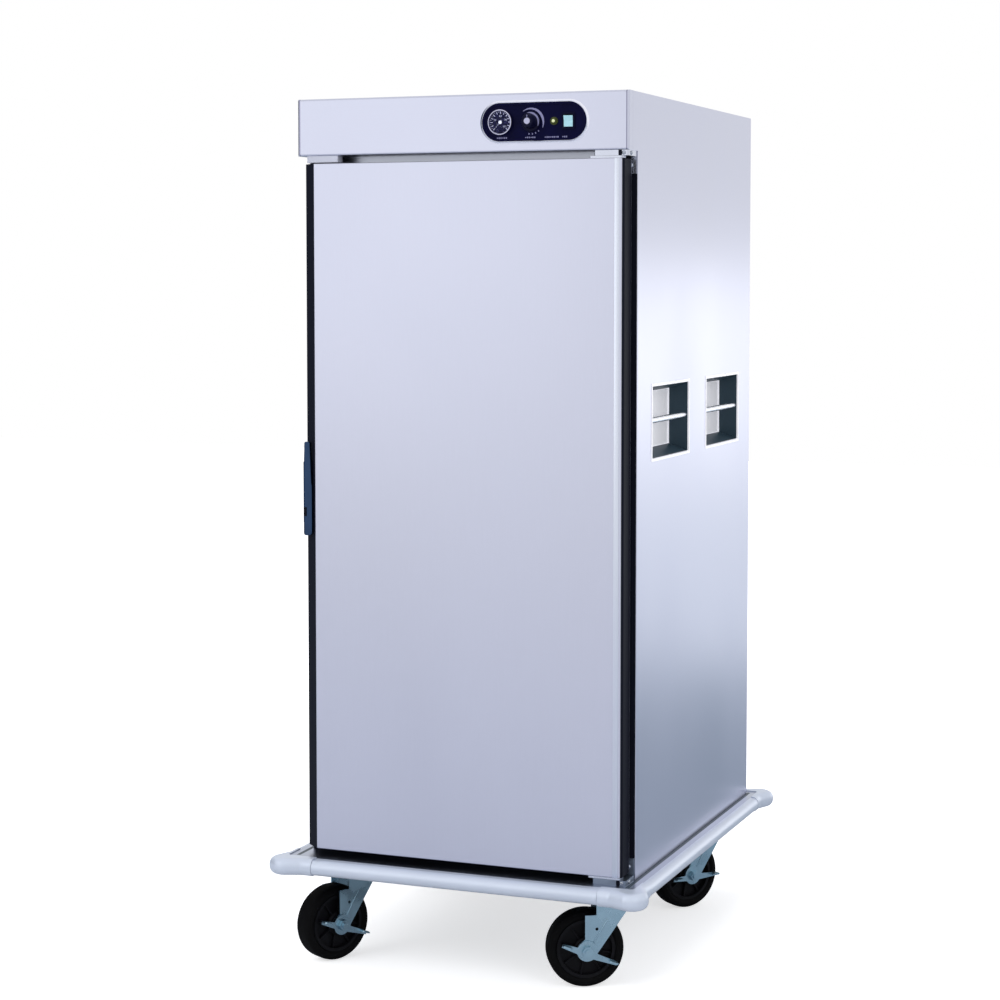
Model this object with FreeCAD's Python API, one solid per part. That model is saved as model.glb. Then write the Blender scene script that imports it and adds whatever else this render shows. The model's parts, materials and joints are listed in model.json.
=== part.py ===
"""Tall insulated heated holding cabinet on four swivel castors.

The cabinet is a double-walled steel box with one full-height door, a control head over the door,
recessed push bars in both sides and a bumper round the base. Every piece is its own solid in a named
file. Millimetres, +Z up. The origin is on the floor under the middle of the cabinet shell, +X is to the
right seen from the front, and the door faces -Y.
"""
import FreeCAD, Part
import math
import os

# ---------------------------------------------------------------- driving dimensions

# Cabinet shell
body_width = 680.0
body_depth = 845.0
door_zone_depth = 53.0
door_zone_height = 1380.0
head_height = 110.0
shell_sheet = 1.5
shell_edge_radius = 0.8
side_wall = 50.0
back_wall = 50.0
cabin_floor_height = 50.0
cabin_ceiling_height = 50.0
frame_depth = 15.0
liner_sheet = 1.2

# Control head
fascia_side_return = 22.0
fascia_top_return = 40.0
fascia_bend_radius = 4.0
panel_seam = 0.3

# Base
caster_head_height = 40.0
chassis_height = 30.0
chassis_wall = 3.0
channel_width = 110.0
chassis_tube_width = 40.0
chassis_tube_inset = 57.0
deck_sheet = 3.0
pan_overhang_side = 20.0
pan_overhang_end = 20.0
pan_corner_radius = 8.0
bumper_height = 30.0
bumper_projection_side = 17.0
bumper_projection_end = 29.0
bumper_seam = 0.8
corner_leg_end = 63.0
corner_leg_side = 55.5
corner_bulge_side = 15.0
corner_bulge_end = 13.0
corner_flare = 35.0
corner_land = 6.0
corner_radius = 32.0
corner_kink_radius = 20.0
corner_nose_radius = 15.0
corner_overheight = 2.0

# Castors
caster_from_side = 65.0
caster_from_end = 110.5
wheel_diameter = 150.0
tyre_width = 45.0
tyre_shoulder = 6.0
tyre_depth = 18.0
hub_rim_width = 40.0
hub_rim_wall = 6.0
hub_web = 16.0
hub_boss_radius = 17.0
caster_trail = 55.0
caster_plate_x = 100.0
caster_plate_y = 86.0
caster_plate_sheet = 4.0
caster_bolt_spacing_x = 80.0
caster_bolt_spacing_y = 60.0
race_radius = 31.0
race_height = 7.0
fork_head_radius = 33.0
fork_head_height = 8.0
fork_sheet = 4.0
fork_inside_width = 56.0
fork_bend_radius = 7.0
fork_crown_front = 30.0
fork_crown_rear = 37.0
fork_crown_drop = 9.0
fork_shoulder_drop = 27.0
fork_leg_setback = 4.0
fork_flare_rise = 22.0
fork_eye_radius = 20.0
fork_hole_radius = 3.0
fork_hole_setback = 19.0
fork_hole_rise = 42.0
kingpin_radius = 6.0
kingpin_nut_radius = 11.0
kingpin_nut_height = 8.0
kingpin_tail = 3.0
axle_radius = 6.0
axle_head_flats = 19.0
axle_head_height = 8.0
axle_tail = 3.0
brake_sheet = 3.0
brake_hub_radius = 20.0
brake_toe_reach = 64.0
brake_heel_reach = 50.0
brake_arm_drop = 5.0
brake_arm_root = 15.0
brake_arm_tip = 7.0
brake_pedal_length = 18.0
brake_pedal_depth = 12.0
brake_applied_tilt = 20.0

# Hand grips
grip_width = 242.0
grip_height = 140.0
grip_depth = 44.0
grip_draft = 15.0
grip_spacing = 364.0
grip_centre_height = 1089.0
cup_sheet = 1.2
cup_flange_width = 5.0
cup_flange_sheet = 1.0
window_clearance = 0.5
grip_bar_radius = 6.0
grip_bar_inset = 10.0
grip_bar_rise = 3.0
cup_pocket_clearance = 1.0

# Tray rack
level_count = 11
level_pitch = 105.0
first_level_height = 90.0
upright_thickness = 12.0
upright_width = 30.0
upright_spacing = 500.0
upright_top_gap = 10.0
runner_length = 650.0
runner_ledge = 24.0
runner_drop = 20.0
runner_sheet = 1.5

# Blower, heater and baffle
plenum_height = 50.0
baffle_sheet = 1.2
baffle_side_gap = 20.0
baffle_end_gap = 22.0
baffle_post_radius = 6.0
baffle_post_inset = 30.0
grille_radius = 88.0
grille_slot_width = 10.0
grille_slot_pitch = 18.0
grille_slot_count = 9
fan_radius = 85.0
fan_hub_radius = 20.0
fan_blade_height = 24.0
fan_blade_sheet = 2.0
fan_blade_count = 8
fan_blade_root = 34.0
fan_top_gap = 8.0
fan_shaft_radius = 4.0
shaft_hole_radius = 9.0
heater_ring_radius = 118.0
heater_tube_radius = 4.0
heater_gap_degrees = 24.0
heater_tail = 14.0
heater_hole_clearance = 0.5
motor_radius = 48.0
motor_height = 68.0
motor_flange_radius = 60.0
motor_flange_height = 4.0

# Rear service cover and cable gland
cover_width = 340.0
cover_height = 90.0
cover_lap = 14.0
cover_centre_below_top = 55.0
louvre_count = 4
louvre_pitch = 14.0
louvre_slot = 5.0
louvre_length = 240.0
gland_from_side = 70.0
gland_thread_radius = 8.0
gland_hex_flats = 24.0
gland_hex_height = 6.0
gland_dome_radius = 10.0
gland_dome_length = 14.0
gland_bore_radius = 4.5
gland_inner_length = 14.0

# Controls, placed from the middle of the fascia
bezel_offset_x = 153.5
bezel_width = 209.0
bezel_height = 72.0
bezel_thickness = 4.0
bezel_rim_width = 5.0
bezel_recess = 1.5
bezel_rise = 0.5
bezel_edge_radius = 1.5
dial_offset_x = 87.0
dial_radius = 24.0
dial_case_depth = 8.0
dial_case_wall = 2.0
dial_face_sheet = 0.5
dial_lens_sheet = 1.2
dial_lens_setback = 0.6
dial_stem_radius = 5.0
dial_stem_length = 30.0
needle_length = 17.0
needle_tail = 5.0
needle_rest_angle = 135.0
needle_hub_radius = 2.6
needle_sheet = 0.8
needle_standoff = 1.0
needle_pin_radius = 0.8
knob_offset_x = 148.0
knob_skirt_radius = 19.0
knob_skirt_depth = 5.0
knob_grip_radius = 13.5
knob_grip_depth = 18.0
knob_rib_width = 5.0
knob_rib_depth = 2.0
knob_shaft_radius = 3.0
knob_shaft_length = 20.0
thermostat_width = 44.0
thermostat_height = 36.0
thermostat_depth = 30.0
lamp_offset_x = 194.0
lamp_lens_radius = 7.5
lamp_collar_depth = 2.0
lamp_dome_radius = 6.5
lamp_dome_depth = 4.0
lamp_dome_round = 3.2
lamp_body_radius = 6.0
lamp_body_length = 26.0
switch_offset_x = 222.5
switch_flange_x = 25.0
switch_flange_z = 31.0
switch_flange_depth = 2.5
switch_body_x = 22.0
switch_body_z = 28.0
switch_body_depth = 22.0
switch_pocket_x = 18.0
switch_pocket_z = 24.6
switch_pocket_depth = 13.0
rocker_side_clearance = 0.3
rocker_tip_height = 10.4
rocker_tip_rise = 5.0
rocker_valley_rise = 3.4
rocker_heel_height = 9.0
rocker_heel_depth = 4.0
rocker_pivot_setback = 1.0
rocker_stub_radius = 1.2
rocker_stub_length = 1.0
rocker_rest_tilt = 8.0
control_hole_clearance = 0.4

# Door
door_gap_left = 5.0
door_gap_right = 10.0
door_gap_top = 14.6
door_gap_bottom = 14.6
door_thickness = 45.0
door_sheet = 1.2
door_bevel_width = 30.0
door_bevel_depth = 26.0
door_hinge_edge_radius = 7.0
door_end_edge_radius = 2.0
door_plug_margin = 12.0
door_plug_depth = 10.0
gasket_margin = 22.0
gasket_width = 16.0
gasket_edge_radius = 2.0

# Hinges and guide block
pivot_from_side = 24.0
pivot_from_front = 14.0
hinge_pin_radius = 5.0
hinge_pin_depth = 12.0
hinge_boss_radius = 9.0
hinge_leaf_sheet = 4.0
hinge_leaf_reach = 54.0
hinge_leaf_toe = 10.0
hinge_leaf_half_width = 11.5
hinge_arm_reach = 45.0
hinge_arm_setback = 2.5
hinge_side_gap = 2.0
hinge_screw_from_side = 9.0
hinge_screw_from_front = 17.0
hinge_leg_width = 20.0
hinge_leg_sheet = 3.7
hinge_leg_height = 32.0
guide_block_inset = 19.0
guide_block_length = 66.0
guide_block_height = 13.0
guide_block_depth = 22.0

# Latch
latch_lever_bottom = 860.0
latch_lever_length = 185.0
latch_lever_shoulder = 100.0
latch_lever_width = 19.0
latch_lever_taper = 3.5
latch_lever_step = 1.2
latch_lever_foot_radius = 7.0
latch_lever_head_radius = 3.5
latch_lever_edge_radius = 1.5
latch_lever_thickness = 7.8
latch_lever_clearance = 0.8
latch_lever_left = 6.5
latch_lever_setback = 2.1
latch_body_bottom = 885.0
latch_body_height = 120.0
latch_lug_rise = 13.0
latch_lug_height = 18.0
latch_pin_radius = 1.5
latch_pin_overlap = 8.0
latch_side_wrap = 1.5
latch_magnet_reach = 22.0
strike_sheet = 2.7
strike_margin = 12.0

# Clearances and fits
running_fit = 0.05
working_gap = 0.3
bolt_clearance = 0.2

# Fasteners
caster_bolt_radius = 4.0
caster_bolt_flats = 13.0
caster_bolt_head = 5.3
caster_nut_height = 6.5
screw_radius = 2.0
screw_head_radius = 4.0
screw_head_height = 2.2
screw_length = 9.0

# Yaw of each castor's trail about its kingpin, and whether its brake is applied
caster_places = {
    "front_left": (-1, -1, 60.0, True),
    "front_right": (1, -1, 29.0, True),
    "rear_right": (1, 1, 53.0, False),
    "rear_left": (-1, 1, 45.0, False),
}

# ---------------------------------------------------------------- reference planes

half_width = body_width / 2
front_y = -body_depth / 2
back_y = body_depth / 2
jamb_y = front_y + door_zone_depth
cabin_front_y = jamb_y + frame_depth
cabin_back_y = back_y - back_wall
cabin_middle_y = (cabin_front_y + cabin_back_y) / 2

caster_height = wheel_diameter + caster_head_height
deck_z = caster_height + chassis_height + deck_sheet
head_z = deck_z + door_zone_height
top_z = head_z + head_height
cabin_floor_z = deck_z + cabin_floor_height
cabin_top_z = head_z - cabin_ceiling_height
baffle_z = cabin_top_z - plenum_height
shelf_top_z = head_z + shell_sheet

cabin_half_width = half_width - side_wall
opening_half_width = cabin_half_width - liner_sheet
pan_half_x = half_width + pan_overhang_side
pan_half_y = back_y + pan_overhang_end
bumper_z = deck_z - bumper_height
bumper_half_x = pan_half_x + bumper_projection_side
bumper_half_y = pan_half_y + bumper_projection_end
caster_x = half_width - caster_from_side
caster_y = back_y - caster_from_end
gland_x = half_width - gland_from_side
hinge_right_x = half_width - hinge_side_gap
hinge_front_y = front_y + hinge_arm_setback

door_left_x = -half_width + door_gap_left
door_right_x = half_width - door_gap_right
door_bottom_z = deck_z + door_gap_bottom
door_top_z = head_z - door_gap_top
door_back_y = front_y + door_thickness
pivot_x = half_width - pivot_from_side
pivot_y = front_y + pivot_from_front

control_z = head_z + head_height / 2 + bezel_rise
field_y = front_y - bezel_thickness + bezel_recess
fascia_back_y = front_y + shell_sheet

latch_axis_x = -half_width + latch_lever_left + latch_lever_thickness / 2
latch_axis_y = front_y + latch_lever_setback + latch_lever_thickness / 2
latch_lug_bottom = latch_body_bottom + latch_lug_rise
rocker_pivot_y = field_y + rocker_pivot_setback

axle_z = wheel_diameter / 2
race_bottom_z = caster_height - caster_plate_sheet - race_height
fork_head_top_z = race_bottom_z - working_gap
crown_top_z = fork_head_top_z - fork_head_height
fork_outside = fork_inside_width / 2 + fork_sheet
hub_rim_radius = wheel_diameter / 2 - tyre_depth

# ---------------------------------------------------------------- shape helpers

V = FreeCAD.Vector
ORIGIN = V(0, 0, 0)
X_AXIS = V(1, 0, 0)
Y_AXIS = V(0, 1, 0)
Z_AXIS = V(0, 0, 1)


def box(x0, x1, y0, y1, z0, z1):
    """A block between two corners."""
    return Part.makeBox(x1 - x0, y1 - y0, z1 - z0, V(x0, y0, z0))


def rod(radius, length, base, axis=Z_AXIS):
    """A round bar from a base point along an axis."""
    return Part.makeCylinder(radius, length, base, axis)


def extruded(points, travel):
    """A prism from a closed outline of vectors."""
    outline = Part.makePolygon(points + points[:1])
    return Part.Face(outline).extrude(travel)


def prism_x(points, x0, x1):
    """A prism along X from (y, z) points."""
    return extruded([V(x0, y, z) for y, z in points], V(x1 - x0, 0, 0))


def prism_y(points, y0, y1):
    """A prism along Y from (x, z) points."""
    return extruded([V(x, y0, z) for x, z in points], V(0, y1 - y0, 0))


def prism_z(points, z0, z1):
    """A prism along Z from (x, y) points."""
    return extruded([V(x, y, z0) for x, y in points], V(0, 0, z1 - z0))


def hexagon(flats, height, base, axis=Z_AXIS):
    """A hexagon bar measured across its flats."""
    corner = flats / math.sqrt(3)
    points = [V(corner * math.cos(math.radians(60 * k)), corner * math.sin(math.radians(60 * k)), 0)
              for k in range(6)]
    shape = extruded(points, V(0, 0, height))
    turn = FreeCAD.Rotation(Z_AXIS, axis)
    shape.Placement = FreeCAD.Placement(base, turn)
    return shape


def stadium(width, height, y0, y1, centre_x, centre_z):
    """A pill-shaped plate lying in the XZ plane."""
    radius = height / 2
    straight = width / 2 - radius
    middle = box(centre_x - straight, centre_x + straight, y0, y1, centre_z - radius, centre_z + radius)
    ends = [rod(radius, y1 - y0, V(centre_x + side * straight, y0, centre_z), Y_AXIS) for side in (-1, 1)]
    return middle.fuse(ends).removeSplitter()


def rounded(shape, radius, wanted):
    """The shape with a fillet on each edge that the test picks."""
    edges = [edge for edge in shape.Edges if wanted(edge.BoundBox)]
    return shape.makeFillet(radius, edges)


def near(value, target):
    """Whether two coordinates are the same place."""
    return abs(value - target) < 0.001


def at_x(b, x):
    """Whether an edge's bounds lie in one X plane."""
    return near(b.XMin, x) and near(b.XMax, x)


def at_y(b, y):
    """Whether an edge's bounds lie in one Y plane."""
    return near(b.YMin, y) and near(b.YMax, y)


def at_z(b, z):
    """Whether an edge's bounds lie in one Z plane."""
    return near(b.ZMin, z) and near(b.ZMax, z)


def upright(b):
    """Whether an edge's bounds belong to a vertical line."""
    return near(b.XLength, 0) and near(b.YLength, 0)


def mirrored(shape):
    """The same piece for the other side of the cabinet."""
    return shape.mirror(ORIGIN, X_AXIS)


def both_sides(shape):
    """A piece and its mirror image."""
    return [shape, mirrored(shape)]


def hollow_tube(x0, x1, y0, y1, z0, z1, wall, along_x):
    """A rectangular tube, open at both ends."""
    if along_x:
        inside = box(x0 - 1, x1 + 1, y0 + wall, y1 - wall, z0 + wall, z1 - wall)
    else:
        inside = box(x0 + wall, x1 - wall, y0 - 1, y1 + 1, z0 + wall, z1 - wall)
    return box(x0, x1, y0, y1, z0, z1).cut(inside)


def screw(tip_direction, seat):
    """A pan-head screw whose head rests on the seat point."""
    back = -tip_direction
    head = rod(screw_head_radius, screw_head_height, seat, back)
    return head.fuse(rod(screw_radius, screw_length, seat, tip_direction))


# ---------------------------------------------------------------- base

def caster_centres():
    """Where each kingpin stands, in the order of the castor table."""
    return {name: (side_x * caster_x, side_y * caster_y)
            for name, (side_x, side_y, _yaw, _applied) in caster_places.items()}


def caster_bolt_points():
    """The sixteen bolt positions of the four castor plates."""
    return [(x + i * caster_bolt_spacing_x / 2, y + j * caster_bolt_spacing_y / 2)
            for x, y in caster_centres().values() for i in (-1, 1) for j in (-1, 1)]


def chassis_frame():
    """Two wide channels that take the castors, and three tubes between them."""
    z0 = caster_height
    z1 = caster_height + chassis_height
    end_x = pan_half_x - deck_sheet
    tube_x = end_x - chassis_tube_inset
    channels = [hollow_tube(-end_x, end_x, side * caster_y - channel_width / 2,
                            side * caster_y + channel_width / 2, z0, z1, chassis_wall, True)
                for side in (-1, 1)]
    holes = [rod(caster_bolt_radius + bolt_clearance, 2 * chassis_wall, V(x, y, z0 - chassis_wall / 2))
             for x, y in caster_bolt_points()]
    channels = [channel.cut(holes) for channel in channels]
    reach = caster_y - channel_width / 2
    half = chassis_tube_width / 2
    tubes = [hollow_tube(x - half, x + half, -reach, reach, z0, z1, chassis_wall, False)
             for x in (-tube_x, 0, tube_x)]
    return channels + tubes


def base_pan():
    """The deck plate, with its rim turned down behind the bumper."""
    outer = rounded(box(-pan_half_x, pan_half_x, -pan_half_y, pan_half_y, bumper_z, deck_z),
                    pan_corner_radius, upright)
    inner_x = pan_half_x - deck_sheet
    inner_y = pan_half_y - deck_sheet
    inner = rounded(box(-inner_x, inner_x, -inner_y, inner_y, bumper_z - 1, deck_z - deck_sheet),
                    pan_corner_radius - deck_sheet, upright)
    return outer.cut(inner)


def bumper_profile(projection):
    """A rail's D section, standing up in the XZ plane and facing +X."""
    radius = bumper_height / 2
    flat_end = projection - radius
    edges = [
        Part.makeLine(V(0, 0, bumper_z), V(flat_end, 0, bumper_z)),
        Part.Arc(V(flat_end, 0, bumper_z), V(projection, 0, bumper_z + radius),
                 V(flat_end, 0, deck_z)).toShape(),
        Part.makeLine(V(flat_end, 0, deck_z), V(0, 0, deck_z)),
        Part.makeLine(V(0, 0, deck_z), V(0, 0, bumper_z)),
    ]
    return Part.Face(Part.Wire(edges))


def bumper_bar(x, y, facing, length, projection):
    """A straight length of bumper that starts at a point and faces a way given in degrees."""
    bar = bumper_profile(projection).extrude(V(0, length, 0))
    bar.rotate(ORIGIN, Z_AXIS, facing)
    bar.translate(V(x, y, 0))
    return bar


def bumper_rails():
    """The four straight rails between the corner mouldings."""
    end_x = pan_half_x - corner_leg_end - bumper_seam
    end_y = pan_half_y - corner_leg_side - bumper_seam
    return [
        bumper_bar(-end_x, -pan_half_y, 270, 2 * end_x, bumper_projection_end),
        bumper_bar(pan_half_x, -end_y, 0, 2 * end_y, bumper_projection_side),
        bumper_bar(end_x, pan_half_y, 90, 2 * end_x, bumper_projection_end),
        bumper_bar(-pan_half_x, end_y, 180, 2 * end_y, bumper_projection_side),
    ]


def bumper_corner():
    """The moulding round the back right corner: flush with both rails, then bulging at the corner."""
    z0 = bumper_z - corner_overheight
    z1 = deck_z + corner_overheight
    end_x = pan_half_x - corner_leg_end
    end_y = pan_half_y - corner_leg_side
    tip_x = bumper_half_x + corner_bulge_side
    tip_y = bumper_half_y + corner_bulge_end
    full_x = tip_x - corner_radius - corner_land
    full_y = tip_y - corner_radius - corner_land
    outline = [(end_x, end_y), (end_x, bumper_half_y), (full_x - corner_flare, bumper_half_y),
               (full_x, tip_y), (tip_x, tip_y), (tip_x, full_y),
               (bumper_half_x, full_y - corner_flare), (bumper_half_x, end_y)]
    block = prism_z(outline, z0, z1)
    block = rounded(block, corner_radius,
                    lambda b: upright(b) and near(b.XMin, tip_x) and near(b.YMin, tip_y))
    kinks = outline[2:4] + outline[5:7]
    block = rounded(block, corner_kink_radius,
                    lambda b: upright(b) and any(near(b.XMin, x) and near(b.YMin, y) for x, y in kinks))
    block = rounded(block, corner_nose_radius, lambda b: (at_z(b, z0) or at_z(b, z1))
                    and not at_x(b, end_x) and not at_y(b, end_y))
    pan = rounded(box(-pan_half_x, pan_half_x, -pan_half_y, pan_half_y, z0 - 1, z1 + 1),
                  pan_corner_radius, upright)
    return block.cut(pan)


def bumper_corners():
    """The four corner mouldings."""
    right = [bumper_corner(), bumper_corner().mirror(ORIGIN, Y_AXIS)]
    return right + [mirrored(corner) for corner in right]


# ---------------------------------------------------------------- castors

def caster_plate(x, y):
    """A top plate with its ball race, kingpin and kingpin nut."""
    top = caster_height
    plate = box(x - caster_plate_x / 2, x + caster_plate_x / 2, y - caster_plate_y / 2,
                y + caster_plate_y / 2, top - caster_plate_sheet, top)
    plate = rounded(plate, 2 * fork_sheet, upright)
    holes = [rod(caster_bolt_radius + bolt_clearance, 2 * caster_plate_sheet,
                 V(px, py, top - 1.5 * caster_plate_sheet)) for px, py in caster_bolt_points()]
    race = rod(race_radius, race_height, V(x, y, race_bottom_z))
    nut_top = crown_top_z - fork_sheet - working_gap
    nut_bottom = nut_top - kingpin_nut_height
    nut = rod(kingpin_nut_radius, kingpin_nut_height, V(x, y, nut_bottom))
    pin_bottom = nut_bottom - kingpin_tail
    pin = rod(kingpin_radius, race_bottom_z - pin_bottom, V(x, y, pin_bottom))
    return plate.cut(holes).fuse([race, nut, pin])


def tangent_point(point, centre, radius, side):
    """Where a line from a point touches a circle, in (x, z)."""
    dx = point[0] - centre[0]
    dz = point[1] - centre[1]
    away = math.atan2(dz, dx) + side * math.acos(radius / math.hypot(dx, dz))
    return centre[0] + radius * math.cos(away), centre[1] + radius * math.sin(away)


def fork_outline():
    """The fork's side view: a crown, a notched shoulder and a leg that flares to the axle, in (x, z)."""
    axle = (-caster_trail, axle_z)
    front = (fork_crown_front, crown_top_z - fork_crown_drop)
    flare = (-caster_trail - fork_leg_setback, axle_z + fork_flare_rise)
    shoulder_z = crown_top_z - fork_shoulder_drop
    return [
        (fork_crown_front, crown_top_z),
        front,
        tangent_point(front, axle, fork_eye_radius, -1),
        axle,
        tangent_point(flare, axle, fork_eye_radius, 1),
        flare,
        (flare[0], shoulder_z),
        (-fork_crown_rear, shoulder_z),
        (-fork_crown_rear, crown_top_z),
    ]


def pressed_fork():
    """The fork pressing: a bent crown, two slanted legs, the swivel head and its bore."""
    reach = caster_trail + fork_eye_radius + fork_sheet
    low = axle_z - fork_eye_radius - fork_sheet
    outer = box(-reach, fork_crown_front + fork_sheet, -fork_outside, fork_outside, low, crown_top_z)
    outer = rounded(outer, fork_bend_radius, lambda b: at_z(b, crown_top_z) and near(b.YLength, 0))
    inner_top = crown_top_z - fork_sheet
    half = fork_inside_width / 2
    inner = box(-reach - fork_sheet, fork_crown_front + 2 * fork_sheet, -half, half,
                low - fork_sheet, inner_top)
    inner = rounded(inner, fork_bend_radius - fork_sheet,
                    lambda b: at_z(b, inner_top) and near(b.YLength, 0))
    side_view = prism_y(fork_outline(), -fork_outside - 1, fork_outside + 1)
    leg_end = rod(fork_eye_radius, 2 * fork_outside + 2, V(-caster_trail, -fork_outside - 1, axle_z), Y_AXIS)
    fork = outer.cut(inner).common(side_view.fuse(leg_end))
    fork = fork.fuse(rod(fork_head_radius, fork_head_height, V(0, 0, crown_top_z)))
    hole_x = fork_hole_setback - caster_trail
    hole_z = axle_z + fork_hole_rise
    cuts = [
        rod(kingpin_radius + running_fit, fork_head_height + 4 * fork_sheet,
            V(0, 0, crown_top_z - 2 * fork_sheet)),
        rod(axle_radius + running_fit, 2 * fork_outside + 2,
            V(-caster_trail, -fork_outside - 1, axle_z), Y_AXIS),
        rod(fork_hole_radius, 2 * fork_outside + 2, V(hole_x, -fork_outside - 1, hole_z), Y_AXIS),
    ]
    return fork.cut(cuts)


def axle_bolt():
    """The wheel's axle bolt with its head on the far leg and its nut outside the brake lever."""
    nut_y = -fork_outside - working_gap - brake_sheet - working_gap
    end_y = nut_y - axle_head_height - axle_tail
    shank = rod(axle_radius, fork_outside - end_y, V(-caster_trail, end_y, axle_z), Y_AXIS)
    head = hexagon(axle_head_flats, axle_head_height, V(-caster_trail, fork_outside, axle_z), Y_AXIS)
    nut = hexagon(axle_head_flats, axle_head_height,
                  V(-caster_trail, nut_y - axle_head_height, axle_z), Y_AXIS)
    return shank.fuse([head, nut])


def tyre():
    """The solid rubber tyre."""
    base = V(-caster_trail, -tyre_width / 2, axle_z)
    ring = rod(wheel_diameter / 2, tyre_width, base, Y_AXIS)
    ring = rounded(ring, tyre_shoulder, lambda b: near(b.YLength, 0))
    bore = rod(hub_rim_radius + running_fit, tyre_width + 2, base - V(0, 1, 0), Y_AXIS)
    return ring.cut(bore)


def wheel_hub():
    """The moulded hub: rim, web and boss with the axle bore."""
    centre = V(-caster_trail, 0, axle_z)

    def disc(radius, width):
        return rod(radius, width, centre - V(0, width / 2, 0), Y_AXIS)

    boss_length = fork_inside_width - 2 * working_gap
    rim = disc(hub_rim_radius, hub_rim_width).cut(disc(hub_rim_radius - hub_rim_wall, hub_rim_width + 2))
    web = disc(hub_rim_radius - hub_rim_wall, hub_web)
    hub = rim.fuse([web, disc(hub_boss_radius, boss_length)])
    return hub.cut(disc(axle_radius + running_fit, boss_length + 2))


def brake_arm(reach, outer_y):
    """One tapered arm of the brake lever, with a foot pad turned outwards at its end."""
    side = math.copysign(1, reach)
    root_top = brake_arm_root / 2 - brake_arm_drop
    tip_top = brake_arm_tip / 2 - brake_arm_drop
    outline = [(0, root_top), (reach, tip_top), (reach, tip_top - brake_arm_tip),
               (0, root_top - brake_arm_root)]
    arm = prism_y(outline, outer_y, outer_y + brake_sheet)
    x0, x1 = sorted((reach, reach - side * brake_pedal_length))
    pad = box(x0, x1, outer_y - brake_pedal_depth, outer_y + brake_sheet, tip_top - brake_sheet, tip_top)
    pad = rounded(pad, brake_sheet, lambda b: upright(b) and near(b.YMin, outer_y - brake_pedal_depth))
    return arm.fuse(pad)


def brake_lever(tilt):
    """The side brake: a stamped lever on the axle with a toe pad and a heel pad."""
    outer_y = -fork_outside - working_gap - brake_sheet
    lever = rod(brake_hub_radius, brake_sheet, V(0, outer_y, 0), Y_AXIS)
    lever = lever.fuse([brake_arm(brake_toe_reach, outer_y), brake_arm(-brake_heel_reach, outer_y)])
    lever = lever.cut(rod(axle_radius + running_fit, brake_sheet + 2, V(0, outer_y - 1, 0), Y_AXIS))
    lever.rotate(ORIGIN, Y_AXIS, tilt)
    lever.translate(V(-caster_trail, 0, axle_z))
    return lever


def placed_on_kingpin(shape, name):
    """A castor piece turned to its trail direction and moved under its kingpin."""
    x, y = caster_centres()[name]
    copy = shape.copy()
    copy.rotate(ORIGIN, Z_AXIS, caster_places[name][2])
    copy.translate(V(x, y, 0))
    return copy


def caster_nodes():
    """The four turning sets, each with a fork, hub, tyre and brake lever."""
    fork = pressed_fork()
    bolt = axle_bolt()
    nodes = {}
    for name, (_side_x, _side_y, _yaw, applied) in caster_places.items():
        lever = brake_lever(brake_applied_tilt if applied else 0.0)
        nodes["caster_fork_" + name] = [placed_on_kingpin(fork, name), placed_on_kingpin(bolt, name)]
        nodes["wheel_hub_" + name] = [placed_on_kingpin(wheel_hub(), name)]
        nodes["tyre_" + name] = [placed_on_kingpin(tyre(), name)]
        nodes["brake_lever_" + name] = [placed_on_kingpin(lever, name)]
    return nodes


# ---------------------------------------------------------------- cabinet shell

def grip_centres():
    """The middle of each hand grip along Y."""
    middle = (jamb_y + back_y) / 2
    return [middle - grip_spacing / 2, middle + grip_spacing / 2]


def side_panel():
    """The right side panel, with its forward step at the head and its two grip windows."""
    step_y = front_y + fascia_side_return + panel_seam
    outline = [(jamb_y, deck_z), (back_y, deck_z), (back_y, top_z), (step_y, top_z), (step_y, head_z),
               (jamb_y, head_z)]
    panel = prism_x(outline, half_width - shell_sheet, half_width)
    panel = rounded(panel, shell_edge_radius, lambda b: at_x(b, half_width) and not at_z(b, head_z)
                    and not at_y(b, step_y))
    reach_y = grip_width / 2 + cup_sheet + window_clearance
    reach_z = grip_height / 2 + cup_sheet + window_clearance
    windows = [box(half_width - 2 * shell_sheet, half_width + 1, y - reach_y, y + reach_y,
                   grip_centre_height - reach_z, grip_centre_height + reach_z) for y in grip_centres()]
    return panel.cut(windows)


def grip_cup(y):
    """One recess pressing for the right side, with drafted top and bottom and a flange."""
    floor_x = half_width - grip_depth
    half_z = grip_height / 2
    face_x = half_width + cup_flange_sheet

    def section(mouth_x, back_x, extra):
        high = [(mouth_x, half_z + extra), (half_width, half_z + extra),
                (back_x, half_z - grip_draft + extra)]
        low = [(x, -z) for x, z in reversed(high)]
        return [(x, grip_centre_height + z) for x, z in high + low]

    half_y = grip_width / 2
    shell = prism_y(section(face_x, floor_x - cup_sheet, cup_sheet),
                    y - half_y - cup_sheet, y + half_y + cup_sheet)
    reach_y = half_y + cup_flange_width
    reach_z = half_z + cup_flange_width
    flange = box(half_width, face_x, y - reach_y, y + reach_y,
                 grip_centre_height - reach_z, grip_centre_height + reach_z)
    flange = rounded(flange, cup_flange_sheet / 2, lambda b: at_x(b, face_x))
    return shell.fuse(flange).cut(prism_y(section(face_x + 1, floor_x, 0), y - half_y, y + half_y))


def grip_cups():
    """The four recess cups."""
    return [piece for y in grip_centres() for piece in both_sides(grip_cup(y))]


def grip_bars():
    """The round bar across each recess."""
    bars = [rod(grip_bar_radius, grip_width,
                V(half_width - grip_bar_inset, y - grip_width / 2, grip_centre_height + grip_bar_rise),
                Y_AXIS)
            for y in grip_centres()]
    return [piece for bar in bars for piece in both_sides(bar)]


def cover_centre_z():
    """Height of the rear service cover's middle."""
    return top_z - cover_centre_below_top


def cover_screw_points():
    """The four screws of the rear service cover."""
    x = cover_width / 2 - cover_lap / 2
    z = cover_height / 2 - cover_lap / 2
    return [(i * x, cover_centre_z() + j * z) for i in (-1, 1) for j in (-1, 1)]


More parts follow.
